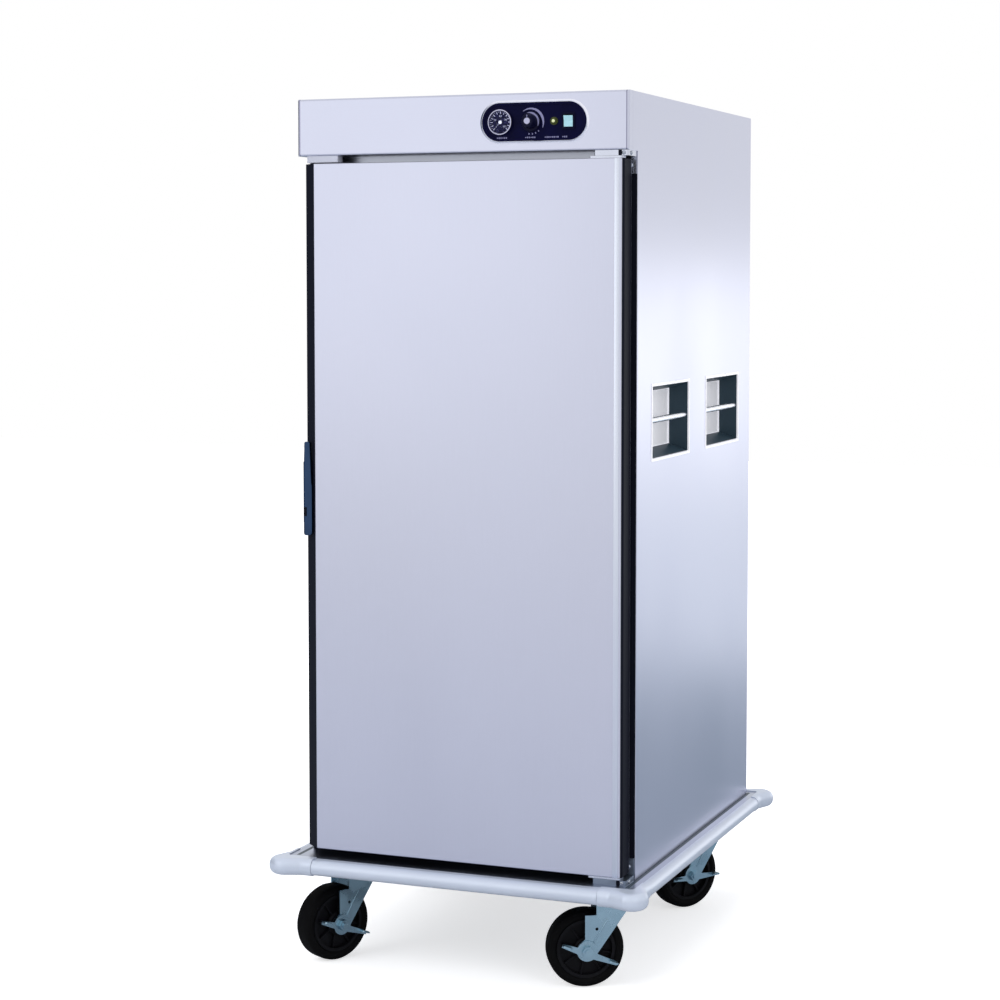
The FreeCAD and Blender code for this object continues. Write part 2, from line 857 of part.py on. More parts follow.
def back_panel():
    """The back panel, open behind the service cover."""
    panel = box(-half_width + shell_sheet, half_width - shell_sheet, back_y - shell_sheet, back_y,
                deck_z, top_z - shell_sheet)
    half_wide = cover_width / 2 - cover_lap
    half_high = cover_height / 2 - cover_lap
    opening = box(-half_wide, half_wide, back_y - 2 * shell_sheet, back_y + 1,
                  cover_centre_z() - half_high, cover_centre_z() + half_high)
    start = back_y - 2 * shell_sheet
    holes = [rod(screw_radius + bolt_clearance, 3 * shell_sheet, V(x, start, z), Y_AXIS)
             for x, z in cover_screw_points()]
    gland_hole = rod(gland_thread_radius + bolt_clearance, 3 * shell_sheet,
                     V(gland_x, start, cover_centre_z()), Y_AXIS)
    return panel.cut([opening, gland_hole] + holes)


def rear_cover():
    """The louvred service cover at the back of the head."""
    y1 = back_y + shell_sheet
    z = cover_centre_z()
    cover = box(-cover_width / 2, cover_width / 2, back_y, y1, z - cover_height / 2, z + cover_height / 2)
    cover = rounded(cover, shell_edge_radius, lambda b: at_y(b, y1))
    first = z - (louvre_count - 1) * louvre_pitch / 2
    slots = [stadium(louvre_length, louvre_slot, back_y - 1, y1 + 1, 0, first + k * louvre_pitch)
             for k in range(louvre_count)]
    holes = [rod(screw_radius + bolt_clearance, 3 * shell_sheet, V(sx, back_y - shell_sheet, sz), Y_AXIS)
             for sx, sz in cover_screw_points()]
    return cover.cut(slots + holes)


def cable_gland():
    """The strain-relief gland for the supply cord: thread, outer nut, dome and inner nut."""
    z = cover_centre_z()
    inner_y = back_y - shell_sheet - gland_inner_length
    outer_y = back_y + gland_hex_height
    thread = rod(gland_thread_radius, outer_y - inner_y, V(gland_x, inner_y, z), Y_AXIS)
    outer_nut = hexagon(gland_hex_flats, gland_hex_height, V(gland_x, back_y, z), Y_AXIS)
    inner_nut = hexagon(gland_hex_flats, gland_hex_height,
                        V(gland_x, back_y - shell_sheet - gland_hex_height, z), Y_AXIS)
    dome = rod(gland_dome_radius, gland_dome_length, V(gland_x, outer_y, z), Y_AXIS)
    dome = rounded(dome, gland_dome_radius / 3, lambda b: at_y(b, outer_y + gland_dome_length))
    bore = rod(gland_bore_radius, gland_dome_length + outer_y - inner_y + 2,
               V(gland_x, inner_y - 1, z), Y_AXIS)
    return thread.fuse([outer_nut, inner_nut, dome]).cut(bore)


def top_panel():
    """The roof sheet behind the fascia's top return."""
    front = front_y + fascia_top_return + panel_seam
    return box(-half_width + shell_sheet, half_width - shell_sheet, front, back_y, top_z - shell_sheet, top_z)


def control_holes():
    """Through holes for the thermometer stem, knob shaft, lamp and switch body."""
    y0 = front_y - bezel_thickness - 1
    depth = bezel_thickness + shell_sheet + 2
    round_holes = [
        (dial_offset_x, dial_stem_radius),
        (knob_offset_x, knob_shaft_radius),
        (lamp_offset_x, lamp_body_radius),
    ]
    cuts = [rod(radius + control_hole_clearance, depth, V(x, y0, control_z), Y_AXIS)
            for x, radius in round_holes]
    half_x = switch_body_x / 2 + control_hole_clearance
    half_z = switch_body_z / 2 + control_hole_clearance
    cuts.append(box(switch_offset_x - half_x, switch_offset_x + half_x, y0, y0 + depth,
                    control_z - half_z, control_z + half_z))
    return cuts


def control_fascia():
    """The folded front of the head, with returns at the top, bottom and sides."""
    outer = box(-half_width, half_width, front_y, cabin_front_y, head_z, top_z)
    inner_x = half_width - shell_sheet
    inner = box(-inner_x, inner_x, fascia_back_y, cabin_front_y + 1,
                head_z + shell_sheet, top_z - shell_sheet)
    outer = rounded(outer, fascia_bend_radius, lambda b: at_y(b, front_y))
    inner = rounded(inner, fascia_bend_radius - shell_sheet, lambda b: at_y(b, fascia_back_y))
    side_end = front_y + fascia_side_return
    top_end = front_y + fascia_top_return
    side_cut = box(inner_x, half_width + 1, side_end, cabin_front_y + 1, head_z - 1, top_z + 1)
    top_cut = box(-half_width - 1, half_width + 1, top_end, cabin_front_y + 1, top_z - shell_sheet, top_z + 1)
    return outer.cut([inner, top_cut] + both_sides(side_cut) + control_holes())


def hinge_leg_centres():
    """Where the screws go through the two hinge legs, as heights."""
    arm = hinge_arm_height()
    return [head_z - arm - hinge_leg_height / 2, deck_z + arm + hinge_leg_height / 2]


def hinge_screw_x():
    """The hinge screws' place across the front frame."""
    return half_width - hinge_side_gap - hinge_leg_width / 2


def front_frame():
    """The door frame that closes the wall cavity and carries the gasket face and hinges."""
    ring = box(-half_width + shell_sheet, half_width - shell_sheet, jamb_y, cabin_front_y, deck_z, head_z)
    opening = box(-opening_half_width, opening_half_width, jamb_y - 1, cabin_front_y + 1,
                  cabin_floor_z, cabin_top_z)
    holes = [rod(screw_radius + bolt_clearance, screw_length, V(hinge_screw_x(), jamb_y - 1, z), Y_AXIS)
             for z in hinge_leg_centres()]
    return ring.cut([opening] + holes)


def fan_centre():
    """The blower's axis, in plan."""
    return 0.0, cabin_middle_y


def heater_tail_points():
    """Where the heating element's two tails rise, in plan."""
    x, y = fan_centre()
    half_gap = math.radians(heater_gap_degrees / 2)
    return [(x + side * heater_ring_radius * math.sin(half_gap), y + heater_ring_radius * math.cos(half_gap))
            for side in (-1, 1)]


def ceiling_holes(z0, z1):
    """Holes for the fan shaft and the heating element's tails through one layer."""
    x, y = fan_centre()
    holes = [rod(shaft_hole_radius, z1 - z0 + 2, V(x, y, z0 - 1))]
    radius = heater_tube_radius + heater_hole_clearance
    return holes + [rod(radius, z1 - z0 + 2, V(tx, ty, z0 - 1)) for tx, ty in heater_tail_points()]


def cabin_liner():
    """The five sheets that line the cabin."""
    side = box(opening_half_width, cabin_half_width, cabin_front_y, cabin_back_y, cabin_floor_z, cabin_top_z)
    back = box(-opening_half_width, opening_half_width, cabin_back_y - liner_sheet, cabin_back_y,
               cabin_floor_z, cabin_top_z)
    floor = box(-cabin_half_width, cabin_half_width, cabin_front_y, cabin_back_y,
                cabin_floor_z - liner_sheet, cabin_floor_z)
    ceiling = box(-cabin_half_width, cabin_half_width, cabin_front_y, cabin_back_y,
                  cabin_top_z, cabin_top_z + liner_sheet)
    ceiling = ceiling.cut(ceiling_holes(cabin_top_z, cabin_top_z + liner_sheet))
    return both_sides(side) + [back, floor, ceiling]


def insulation_panels():
    """The slabs that fill the walls, floor and ceiling."""
    inside = half_width - shell_sheet
    side = box(cabin_half_width, inside, cabin_front_y, back_y - shell_sheet, deck_z, head_z)
    reach_y = grip_width / 2 + cup_sheet + cup_pocket_clearance
    reach_z = grip_height / 2 + cup_sheet + cup_pocket_clearance
    pocket_x = half_width - grip_depth - cup_sheet - cup_pocket_clearance
    pockets = [box(pocket_x, inside + 1, y - reach_y, y + reach_y,
                   grip_centre_height - reach_z, grip_centre_height + reach_z) for y in grip_centres()]
    side = side.cut(pockets)
    back = box(-cabin_half_width, cabin_half_width, cabin_back_y, back_y - shell_sheet, deck_z, head_z)
    floor = box(-cabin_half_width, cabin_half_width, cabin_front_y, cabin_back_y, deck_z,
                cabin_floor_z - liner_sheet)
    z0 = cabin_top_z + liner_sheet
    ceiling = box(-cabin_half_width, cabin_half_width, cabin_front_y, cabin_back_y, z0, head_z)
    return both_sides(side) + [back, floor, ceiling.cut(ceiling_holes(z0, head_z))]


def control_shelf():
    """The floor of the head, over the insulation."""
    inside = half_width - shell_sheet
    shelf = box(-inside, inside, cabin_front_y, back_y - shell_sheet, head_z, shelf_top_z)
    return shelf.cut(ceiling_holes(head_z, shelf_top_z))


# ---------------------------------------------------------------- inside the cabin

def tray_rack():
    """Four uprights on the cabin's side walls, and a pair of runners for each level."""
    wall_x = opening_half_width
    face_x = wall_x - upright_thickness
    top = baffle_z - upright_top_gap
    uprights = [box(face_x, wall_x, y - upright_width / 2, y + upright_width / 2, cabin_floor_z, top)
                for y in (cabin_middle_y - upright_spacing / 2, cabin_middle_y + upright_spacing / 2)]
    pieces = [piece for post in uprights for piece in both_sides(post)]
    y0 = cabin_middle_y - runner_length / 2
    for level in range(level_count):
        z = cabin_floor_z + first_level_height + level * level_pitch
        section = [(face_x, z), (face_x - runner_ledge, z), (face_x - runner_ledge, z - runner_sheet),
                   (face_x - runner_sheet, z - runner_sheet), (face_x - runner_sheet, z - runner_drop),
                   (face_x, z - runner_drop)]
        pieces += both_sides(prism_y(section, y0, y0 + runner_length))
    return pieces


def air_baffle():
    """The plate under the ceiling, hung on four posts, with the fan's inlet grille."""
    half_x = opening_half_width - baffle_side_gap
    y0 = cabin_front_y + baffle_end_gap
    y1 = cabin_back_y - liner_sheet - baffle_end_gap
    plate_top = baffle_z + baffle_sheet
    plate = box(-half_x, half_x, y0, y1, baffle_z, plate_top)
    posts = [rod(baffle_post_radius, cabin_top_z - plate_top, V(x, y, plate_top))
             for x in (-half_x + baffle_post_inset, half_x - baffle_post_inset)
             for y in (y0 + baffle_post_inset, y1 - baffle_post_inset)]
    fan_x, fan_y = fan_centre()
    slots = []
    for k in range(grille_slot_count):
        offset = (k - (grille_slot_count - 1) / 2) * grille_slot_pitch
        half_chord = math.sqrt(max(grille_radius ** 2 - offset ** 2, grille_slot_width ** 2))
        slots.append(box(fan_x - half_chord, fan_x + half_chord, fan_y + offset - grille_slot_width / 2,
                         fan_y + offset + grille_slot_width / 2, baffle_z - 1, plate_top + 1))
    return plate.cut(slots).fuse(posts)


def plenum_middle_z():
    """Half way up the air space between the baffle and the ceiling."""
    return (baffle_z + baffle_sheet + cabin_top_z) / 2


def heating_element():
    """A ring element round the fan, with two tails up into the head."""
    x, y = fan_centre()
    z = plenum_middle_z()
    sweep = 360 - heater_gap_degrees
    ring = Part.makeTorus(heater_ring_radius, heater_tube_radius, ORIGIN, Z_AXIS, -180, 180, sweep)
    ring.rotate(ORIGIN, Z_AXIS, 90 + heater_gap_degrees / 2)
    ring.translate(V(x, y, z))
    pieces = []
    for tx, ty in heater_tail_points():
        pieces.append(rod(heater_tube_radius, shelf_top_z + heater_tail - z, V(tx, ty, z)))
        pieces.append(Part.makeSphere(heater_tube_radius, V(tx, ty, z)))
    return ring.fuse(pieces)


def blower_motor():
    """The motor on the control shelf, with its flange and shaft bore."""
    x, y = fan_centre()
    flange = rod(motor_flange_radius, motor_flange_height, V(x, y, shelf_top_z))
    body = rod(motor_radius, motor_height, V(x, y, shelf_top_z))
    body = rounded(body, motor_flange_height, lambda b: at_z(b, shelf_top_z + motor_height))
    bore = rod(fan_shaft_radius + running_fit, motor_height, V(x, y, shelf_top_z - 1))
    return flange.fuse(body).cut(bore)


def impeller():
    """The fan wheel: hub, back plate, straight blades and the shaft up into the motor."""
    x, y = fan_centre()
    plate_top = cabin_top_z - fan_top_gap
    plate_bottom = plate_top - fan_blade_sheet
    blade_bottom = plate_bottom - fan_blade_height
    plate = rod(fan_radius, fan_blade_sheet, V(x, y, plate_bottom))
    hub = rod(fan_hub_radius, fan_blade_height, V(x, y, blade_bottom))
    blades = []
    for k in range(fan_blade_count):
        blade = box(fan_blade_root, fan_radius, -fan_blade_sheet / 2, fan_blade_sheet / 2,
                    blade_bottom, plate_bottom)
        blade.rotate(ORIGIN, Z_AXIS, 360 * k / fan_blade_count)
        blade.translate(V(x, y, 0))
        blades.append(blade)
    shaft_top = shelf_top_z + motor_height - 2 * motor_flange_height
    shaft = rod(fan_shaft_radius, shaft_top - plate_bottom, V(x, y, plate_bottom))
    return plate.fuse([hub, shaft] + blades)


# ---------------------------------------------------------------- controls

def control_bezel():
    """The pill-shaped plate on the fascia, with a raised rim."""
    outer = stadium(bezel_width, bezel_height, front_y - bezel_thickness, front_y, bezel_offset_x, control_z)
    outer = rounded(outer, bezel_edge_radius, lambda b: at_y(b, front_y - bezel_thickness))
    field = stadium(bezel_width - 2 * bezel_rim_width, bezel_height - 2 * bezel_rim_width,
                    front_y - bezel_thickness - 1, field_y, bezel_offset_x, control_z)
    return outer.cut([field] + control_holes())


def thermometer_case():
    """The dial thermometer's cup, with the stem through the fascia and the needle's pin."""
    front = field_y - dial_case_depth
    centre = V(dial_offset_x, front, control_z)
    cup = rod(dial_radius, dial_case_depth, centre, Y_AXIS)
    cup = rounded(cup, dial_case_wall / 2, lambda b: at_y(b, front))
    cup = cup.cut(rod(dial_radius - dial_case_wall, dial_case_depth - dial_case_wall, centre, Y_AXIS))
    stem_length = fascia_back_y - field_y + dial_stem_length
    stem = rod(dial_stem_radius, stem_length, V(dial_offset_x, field_y, control_z), Y_AXIS)
    pin_front = needle_front_y() - needle_standoff / 2
    pin = rod(needle_pin_radius, field_y - pin_front, V(dial_offset_x, pin_front, control_z), Y_AXIS)
    return cup.fuse([stem, pin])


def dial_front_y():
    """The dial face's front."""
    return field_y - dial_case_wall - dial_face_sheet


def needle_front_y():
    """The needle's front."""
    return dial_front_y() - needle_standoff - needle_sheet


def thermometer_dial():
    """The scale plate in the bottom of the cup."""
    disc = rod(dial_radius - dial_case_wall - running_fit, dial_face_sheet,
               V(dial_offset_x, dial_front_y(), control_z), Y_AXIS)
    return disc.cut(rod(needle_pin_radius + running_fit, dial_case_depth,
                        V(dial_offset_x, dial_front_y() - 1, control_z), Y_AXIS))


def thermometer_needle():
    """The needle on its pin, pointing down and to the left when cold."""
    y0 = needle_front_y()
    y1 = y0 + needle_sheet
    half = needle_sheet
    pointer = prism_y([(-needle_tail, -2 * half), (needle_length, -half / 3), (needle_length, half / 3),
                       (-needle_tail, 2 * half)], y0, y1)
    hub = rod(needle_hub_radius, needle_sheet, V(0, y0, 0), Y_AXIS)
    needle = pointer.fuse(hub).cut(rod(needle_pin_radius + running_fit, 4 * needle_sheet,
                                       V(0, y0 - needle_sheet, 0), Y_AXIS))
    needle.rotate(ORIGIN, Y_AXIS, needle_rest_angle)
    needle.translate(V(dial_offset_x, 0, control_z))
    return needle


def thermometer_lens():
    """The clear window in the mouth of the cup."""
    front = field_y - dial_case_depth + dial_lens_setback
    return rod(dial_radius - dial_case_wall - running_fit, dial_lens_sheet,
               V(dial_offset_x, front, control_z), Y_AXIS)


def thermostat_body():
    """The thermostat behind the fascia, with the bore for the knob's shaft."""
    body = box(knob_offset_x - thermostat_width / 2, knob_offset_x + thermostat_width / 2, fascia_back_y,
               fascia_back_y + thermostat_depth, control_z - thermostat_height / 2,
               control_z + thermostat_height / 2)
    body = rounded(body, shell_sheet, lambda b: near(b.XLength, 0) and near(b.ZLength, 0))
    return body.cut(rod(knob_shaft_radius + running_fit, knob_shaft_length + 2,
                        V(knob_offset_x, fascia_back_y - 1, control_z), Y_AXIS))


def thermostat_knob():
    """The knob: skirt, grip with a pointer rib, and its shaft."""
    back = field_y - working_gap
    skirt_front = back - knob_skirt_depth
    grip_front = skirt_front - knob_grip_depth
    skirt = rod(knob_skirt_radius, knob_skirt_depth, V(0, skirt_front, 0), Y_AXIS)
    skirt = rounded(skirt, knob_skirt_depth / 3, lambda b: at_y(b, skirt_front))
    grip = Part.makeCone(knob_grip_radius, knob_grip_radius + knob_rib_depth, knob_grip_depth,
                         V(0, grip_front, 0), Y_AXIS)
    grip = rounded(grip, knob_rib_depth / 2, lambda b: at_y(b, grip_front))
    rib_back = skirt_front
    rib = box(-knob_rib_width / 2, knob_rib_width / 2, grip_front - knob_rib_depth, rib_back,
              0, knob_grip_radius + knob_rib_depth)
    shaft = rod(knob_shaft_radius, fascia_back_y + knob_shaft_length - back, V(0, back, 0), Y_AXIS)
    knob = skirt.fuse([grip, rib, shaft])
    knob.translate(V(knob_offset_x, 0, control_z))
    return knob


def pilot_lamp():
    """The pilot lamp: domed lens, collar and body in one piece."""
    collar_front = field_y - lamp_collar_depth
    collar = rod(lamp_lens_radius, lamp_collar_depth, V(lamp_offset_x, collar_front, control_z), Y_AXIS)
    dome = rod(lamp_dome_radius, lamp_dome_depth, V(lamp_offset_x, collar_front - lamp_dome_depth, control_z),
               Y_AXIS)
    dome = rounded(dome, lamp_dome_round, lambda b: at_y(b, collar_front - lamp_dome_depth))
    body = rod(lamp_body_radius, lamp_body_length, V(lamp_offset_x, field_y, control_z), Y_AXIS)
    return collar.fuse([dome, body])


def switch_housing():
    """The rocker switch's flange and body, with the pocket the rocker turns in."""
    x = switch_offset_x
    z = control_z
    front = field_y - switch_flange_depth
    flange = box(x - switch_flange_x / 2, x + switch_flange_x / 2, front, field_y,
                 z - switch_flange_z / 2, z + switch_flange_z / 2)
    flange = rounded(flange, switch_flange_depth / 3, lambda b: at_y(b, front))
    body = box(x - switch_body_x / 2, x + switch_body_x / 2, field_y, field_y + switch_body_depth,
               z - switch_body_z / 2, z + switch_body_z / 2)
    pocket = box(x - switch_pocket_x / 2, x + switch_pocket_x / 2, front - 1, front + switch_pocket_depth,
                 z - switch_pocket_z / 2, z + switch_pocket_z / 2)
    stub_reach = switch_pocket_x / 2 + rocker_stub_length + running_fit
    pivot = rod(rocker_stub_radius + running_fit, 2 * stub_reach,
                V(x - stub_reach, rocker_pivot_y, z), X_AXIS)
    return flange.fuse(body).cut([pocket, pivot])


def switch_rocker():
    """The rocker: a shallow V paddle on two stubs, resting in its off position."""
    half_x = switch_pocket_x / 2 - rocker_side_clearance
    section = [(-rocker_tip_rise, rocker_tip_height), (-rocker_valley_rise, 0),
               (-rocker_tip_rise, -rocker_tip_height), (rocker_heel_depth, -rocker_heel_height),
               (rocker_heel_depth, rocker_heel_height)]
    paddle = prism_x(section, -half_x, half_x)
    stub_reach = switch_pocket_x / 2 + rocker_stub_length
    paddle = paddle.fuse(rod(rocker_stub_radius, 2 * stub_reach, V(-stub_reach, 0, 0), X_AXIS))
    paddle.rotate(ORIGIN, X_AXIS, rocker_rest_tilt)
    paddle.translate(V(switch_offset_x, rocker_pivot_y, control_z))
    return paddle


# ---------------------------------------------------------------- door

def door_outline(inset):
    """The door's plan outline, drawn in by an inset, as (x, y) points."""
    slope = math.hypot(door_bevel_width, door_bevel_depth)
    bevel_x = door_left_x + door_bevel_width + inset * (slope - door_bevel_width) / door_bevel_depth
    bevel_y_end = front_y + door_bevel_depth + inset * (slope - door_bevel_depth) / door_bevel_width
    left = door_left_x + inset
    right = door_right_x - inset
    return [(left, door_back_y), (left, bevel_y_end), (bevel_x, front_y + inset), (right, front_y + inset),
            (right, door_back_y)]


def door_block(inset):
    """The space inside the door's outer faces, drawn in by an inset, open towards the cabin."""
    z0 = door_bottom_z + inset
    z1 = door_top_z - inset
    block = prism_z(door_outline(inset), z0, z1)
    front = front_y + inset
    right = door_right_x - inset
    block = rounded(block, door_hinge_edge_radius - inset,
                    lambda b: upright(b) and near(b.XMin, right) and near(b.YMin, front))
    if inset < door_end_edge_radius:
        block = rounded(block, door_end_edge_radius - inset,
                        lambda b: at_y(b, front) and (at_z(b, z0) or at_z(b, z1)))
    return block


def hinge_boss_cut(clearance):
    """Round pockets for the two hinge bosses."""
    radius = hinge_boss_radius + clearance
    depth = hinge_pin_depth + hinge_leaf_sheet
    return [rod(radius, depth, V(pivot_x, pivot_y, door_bottom_z - hinge_leaf_sheet)),
            rod(radius, depth, V(pivot_x, pivot_y, door_top_z + hinge_leaf_sheet - depth))]


def door_skin():
    """The outer pan of the door, with the pull bevel down its latch side."""
    shell = door_block(0).cut(door_block(door_sheet))
    back_opening = box(door_left_x + door_sheet, door_right_x - door_sheet, door_back_y - 2 * door_sheet,
                       door_back_y + 1, door_bottom_z + door_sheet, door_top_z - door_sheet)
    return shell.cut([back_opening] + hinge_boss_cut(bolt_clearance))


def door_plug(inset, y1):
    """The raised middle of the door's inner face, drawn in by an inset."""
    half_x = opening_half_width - door_plug_margin - inset
    return box(-half_x, half_x, door_back_y - 2 * liner_sheet, y1, cabin_floor_z + door_plug_margin + inset,
               cabin_top_z - door_plug_margin - inset)


def door_liner():
    """The inner pan that closes the door, with its raised middle."""
    plate = box(door_left_x + door_sheet, door_right_x - door_sheet, door_back_y - liner_sheet, door_back_y,
                door_bottom_z + door_sheet, door_top_z - door_sheet)
    raised = door_plug(0, door_back_y + door_plug_depth)
    plate = plate.fuse(raised.common(box(-half_width, half_width, door_back_y - liner_sheet,
                                         door_back_y + door_plug_depth, deck_z, head_z)))
    plate = rounded(plate, gasket_edge_radius, lambda b: at_y(b, door_back_y + door_plug_depth))
    return plate.cut(door_plug(gasket_edge_radius, door_back_y + door_plug_depth - liner_sheet))


def door_insulation():
    """The slab that fills the door."""
    front_part = box(-half_width, half_width, front_y, door_back_y - liner_sheet, deck_z, head_z)
    slab = door_block(door_sheet).common(front_part)
    plug_face_y = door_back_y + door_plug_depth - liner_sheet
    plug = door_plug(gasket_edge_radius, plug_face_y).common(
        box(-half_width, half_width, door_back_y - liner_sheet, plug_face_y, deck_z, head_z))
    return slab.cut(hinge_boss_cut(bolt_clearance)).fuse(plug).removeSplitter()


def door_gasket():
    """The rubber seal round the inner face of the door."""
    outer_x = opening_half_width + gasket_margin
    outer_z0 = cabin_floor_z - gasket_margin
    outer_z1 = cabin_top_z + gasket_margin
    face_y = jamb_y - working_gap
    ring = box(-outer_x, outer_x, door_back_y, face_y, outer_z0, outer_z1)
    w = gasket_width
    ring = ring.cut(box(-outer_x + w, outer_x - w, door_back_y - 1, face_y + 1, outer_z0 + w, outer_z1 - w))
    return rounded(ring, gasket_edge_radius, lambda b: at_y(b, face_y))


def hinge_arm_height():
    """The arm fills the gap over the door, less the leaf and the working gap."""
    return door_gap_top - hinge_leaf_sheet - working_gap


def hinge_bracket(face_z, towards_door):
    """A hinge arm with its leg and pin. The arm starts at a face and grows towards the door."""
    arm_end = face_z + towards_door * hinge_arm_height()
    z0, z1 = sorted((face_z, arm_end))
    right = hinge_right_x
    arm = box(pivot_x - hinge_arm_reach, right, hinge_front_y, jamb_y, z0, z1)
    arm = rounded(arm, hinge_arm_setback, lambda b: upright(b) and near(b.YMin, hinge_front_y))
    leg_z = sorted((arm_end, arm_end + towards_door * hinge_leg_height))
    leg = box(right - hinge_leg_width, right, jamb_y - hinge_leg_sheet, jamb_y, leg_z[0], leg_z[1])
    screw_z = arm_end + towards_door * hinge_leg_height / 2
    hole = rod(screw_radius + bolt_clearance, 2 * hinge_leg_sheet,
               V(hinge_screw_x(), jamb_y - 1.5 * hinge_leg_sheet, screw_z), Y_AXIS)
    pin_length = working_gap + hinge_leaf_sheet + hinge_pin_depth - 2 * working_gap
    pin = rod(hinge_pin_radius, pin_length, V(pivot_x, pivot_y, arm_end), V(0, 0, towards_door))
    arm_holes = [rod(screw_radius + bolt_clearance, screw_length + working_gap, seat, inwards)
                 for seat, inwards in arm_screw_seats((z0 + z1) / 2)]
    return arm.fuse([leg, pin]).cut([hole] + arm_holes)


def arm_screw_seats(z):
    """Seat and direction of the two screws in one hinge arm: one from the front, one from the side."""
    return [(V(hinge_right_x - hinge_screw_from_side, hinge_front_y, z), Y_AXIS),
            (V(hinge_right_x, hinge_front_y + hinge_screw_from_front, z), -X_AXIS)]


def hinge_brackets():
    """The top bracket under the head and the bottom bracket on the deck."""
    return [hinge_bracket(head_z, -1), hinge_bracket(deck_z, 1)]


def hinge_leaf(face_z, away_from_door):
    """A hinge plate on one end of the door, with the boss that takes the pin."""
    z0, z1 = sorted((face_z, face_z + away_from_door * hinge_leaf_sheet))
    leaf = box(pivot_x - hinge_leaf_reach, pivot_x + hinge_leaf_toe, pivot_y - hinge_leaf_half_width,
               pivot_y + hinge_leaf_half_width, z0, z1)
    leaf = rounded(leaf, hinge_leaf_sheet / 2, upright)
    boss = rod(hinge_boss_radius, hinge_pin_depth, V(pivot_x, pivot_y, face_z), V(0, 0, -away_from_door))
    bore = rod(hinge_pin_radius + running_fit, hinge_pin_depth + hinge_leaf_sheet + 1,
               V(pivot_x, pivot_y, face_z + away_from_door * (hinge_leaf_sheet + 1)),
               V(0, 0, -away_from_door))
    return leaf.fuse(boss).cut(bore)


def door_hinge_plates():
    """The plates on the top and bottom of the door."""
    return [hinge_leaf(door_top_z, 1), hinge_leaf(door_bottom_z, -1)]


def guide_block():
    """The block under the head that keeps the door's free corner in line."""
    x0 = -half_width + guide_block_inset
    y0 = front_y + hinge_arm_setback
    block = box(x0, x0 + guide_block_length, y0, y0 + guide_block_depth, head_z - guide_block_height, head_z)
    return rounded(block, hinge_arm_setback / 2, lambda b: at_y(b, y0) and not at_z(b, head_z))


def bevel_y(x):
    """The door bevel's surface at a place across the door."""
    return front_y + (door_left_x + door_bevel_width - x) * door_bevel_depth / door_bevel_width


def latch_body():
    """The latch body: a wedge on the bevel, wrapped round the door's edge to the magnet face."""
    z0 = latch_body_bottom
    z1 = z0 + latch_body_height
    face_y = front_y + latch_lever_setback + latch_lever_thickness + working_gap
    side_x = door_left_x - latch_side_wrap
    magnet_y = jamb_y - strike_sheet - working_gap
    magnet_x = door_left_x + latch_magnet_reach - door_gap_left
    wedge_x = door_left_x + door_bevel_width - (face_y - front_y) * door_bevel_width / door_bevel_depth
    outline = [(wedge_x, face_y), (door_left_x, bevel_y(door_left_x)), (door_left_x, door_back_y),
               (magnet_x, door_back_y), (magnet_x, magnet_y), (side_x, magnet_y), (side_x, face_y)]
    body = prism_z(outline, z0, z1)
    lug_top = latch_lug_bottom + latch_lug_height - working_gap
    lug_bottom = latch_lug_bottom + working_gap
    lug_radius = latch_lever_thickness / 2
    lug = rod(lug_radius, lug_top - lug_bottom, V(latch_axis_x, latch_axis_y, lug_bottom))
    neck = box(latch_axis_x - lug_radius, latch_axis_x + lug_radius, latch_axis_y, face_y,
               lug_bottom, lug_top)
    pin = rod(latch_pin_radius, lug_top - lug_bottom + 2 * latch_pin_overlap,
              V(latch_axis_x, latch_axis_y, lug_bottom - latch_pin_overlap))
    return body.fuse([lug, neck, pin])


def latch_lever():
    """The tall pull lever: a wide grip that tapers to its head, hinged down its outer edge."""
    z0 = latch_lever_bottom
    z1 = z0 + latch_lever_length
    shoulder = z0 + latch_lever_shoulder
    radius = latch_lever_thickness / 2
    y0 = latch_axis_y - radius
    y1 = latch_axis_y + radius
    left = latch_axis_x - radius
    right = left + latch_lever_width
    neck = right - latch_lever_step
    outline = [(left, z0), (right, z0), (right, shoulder), (neck, shoulder + latch_lever_step),
               (neck - latch_lever_taper, z1), (left + latch_lever_taper, z1), (left, shoulder)]
    face = prism_y(outline, y0, y1)
    face = rounded(face, latch_lever_foot_radius, lambda b: near(b.YLength, y1 - y0) and at_z(b, z0))
    face = rounded(face, latch_lever_head_radius, lambda b: near(b.YLength, y1 - y0) and at_z(b, z1))
    clear_y = bevel_y(right) - latch_lever_clearance
    clear_x = right - (y1 - clear_y) * door_bevel_width / door_bevel_depth
    plan = [(latch_axis_x, y0), (right, y0), (right, clear_y), (clear_x, y1), (latch_axis_x, y1)]
    grip = face.common(prism_z(plan, z0, z1))
    grip = rounded(grip, latch_lever_edge_radius, lambda b: at_y(b, y0) and b.XMax > latch_axis_x + radius)
    barrel = rod(radius, latch_lever_length, V(latch_axis_x, latch_axis_y, z0)).common(face)
    lever = grip.fuse(barrel).removeSplitter()
    lug_space = box(left - 1, latch_axis_x + radius + working_gap, y0 - 1, y1 + 1,
                    latch_lug_bottom, latch_lug_bottom + latch_lug_height)
    bore_length = latch_lug_height + 2 * latch_pin_overlap + 2 * working_gap
    bore = rod(latch_pin_radius + running_fit, bore_length,
               V(latch_axis_x, latch_axis_y, latch_lug_bottom - latch_pin_overlap - working_gap))
    return lever.cut([lug_space, bore])


def latch_strike():
    """The steel plate on the front frame that the latch's magnet holds."""
    x0 = -half_width + shell_sheet
    z0 = latch_body_bottom - strike_margin
    z1 = latch_body_bottom + latch_body_height + strike_margin
    plate = box(x0, door_left_x + latch_magnet_reach, jamb_y - strike_sheet, jamb_y, z0, z1)
    return rounded(plate, strike_sheet / 3, lambda b: at_y(b, jamb_y - strike_sheet))


# ---------------------------------------------------------------- fasteners

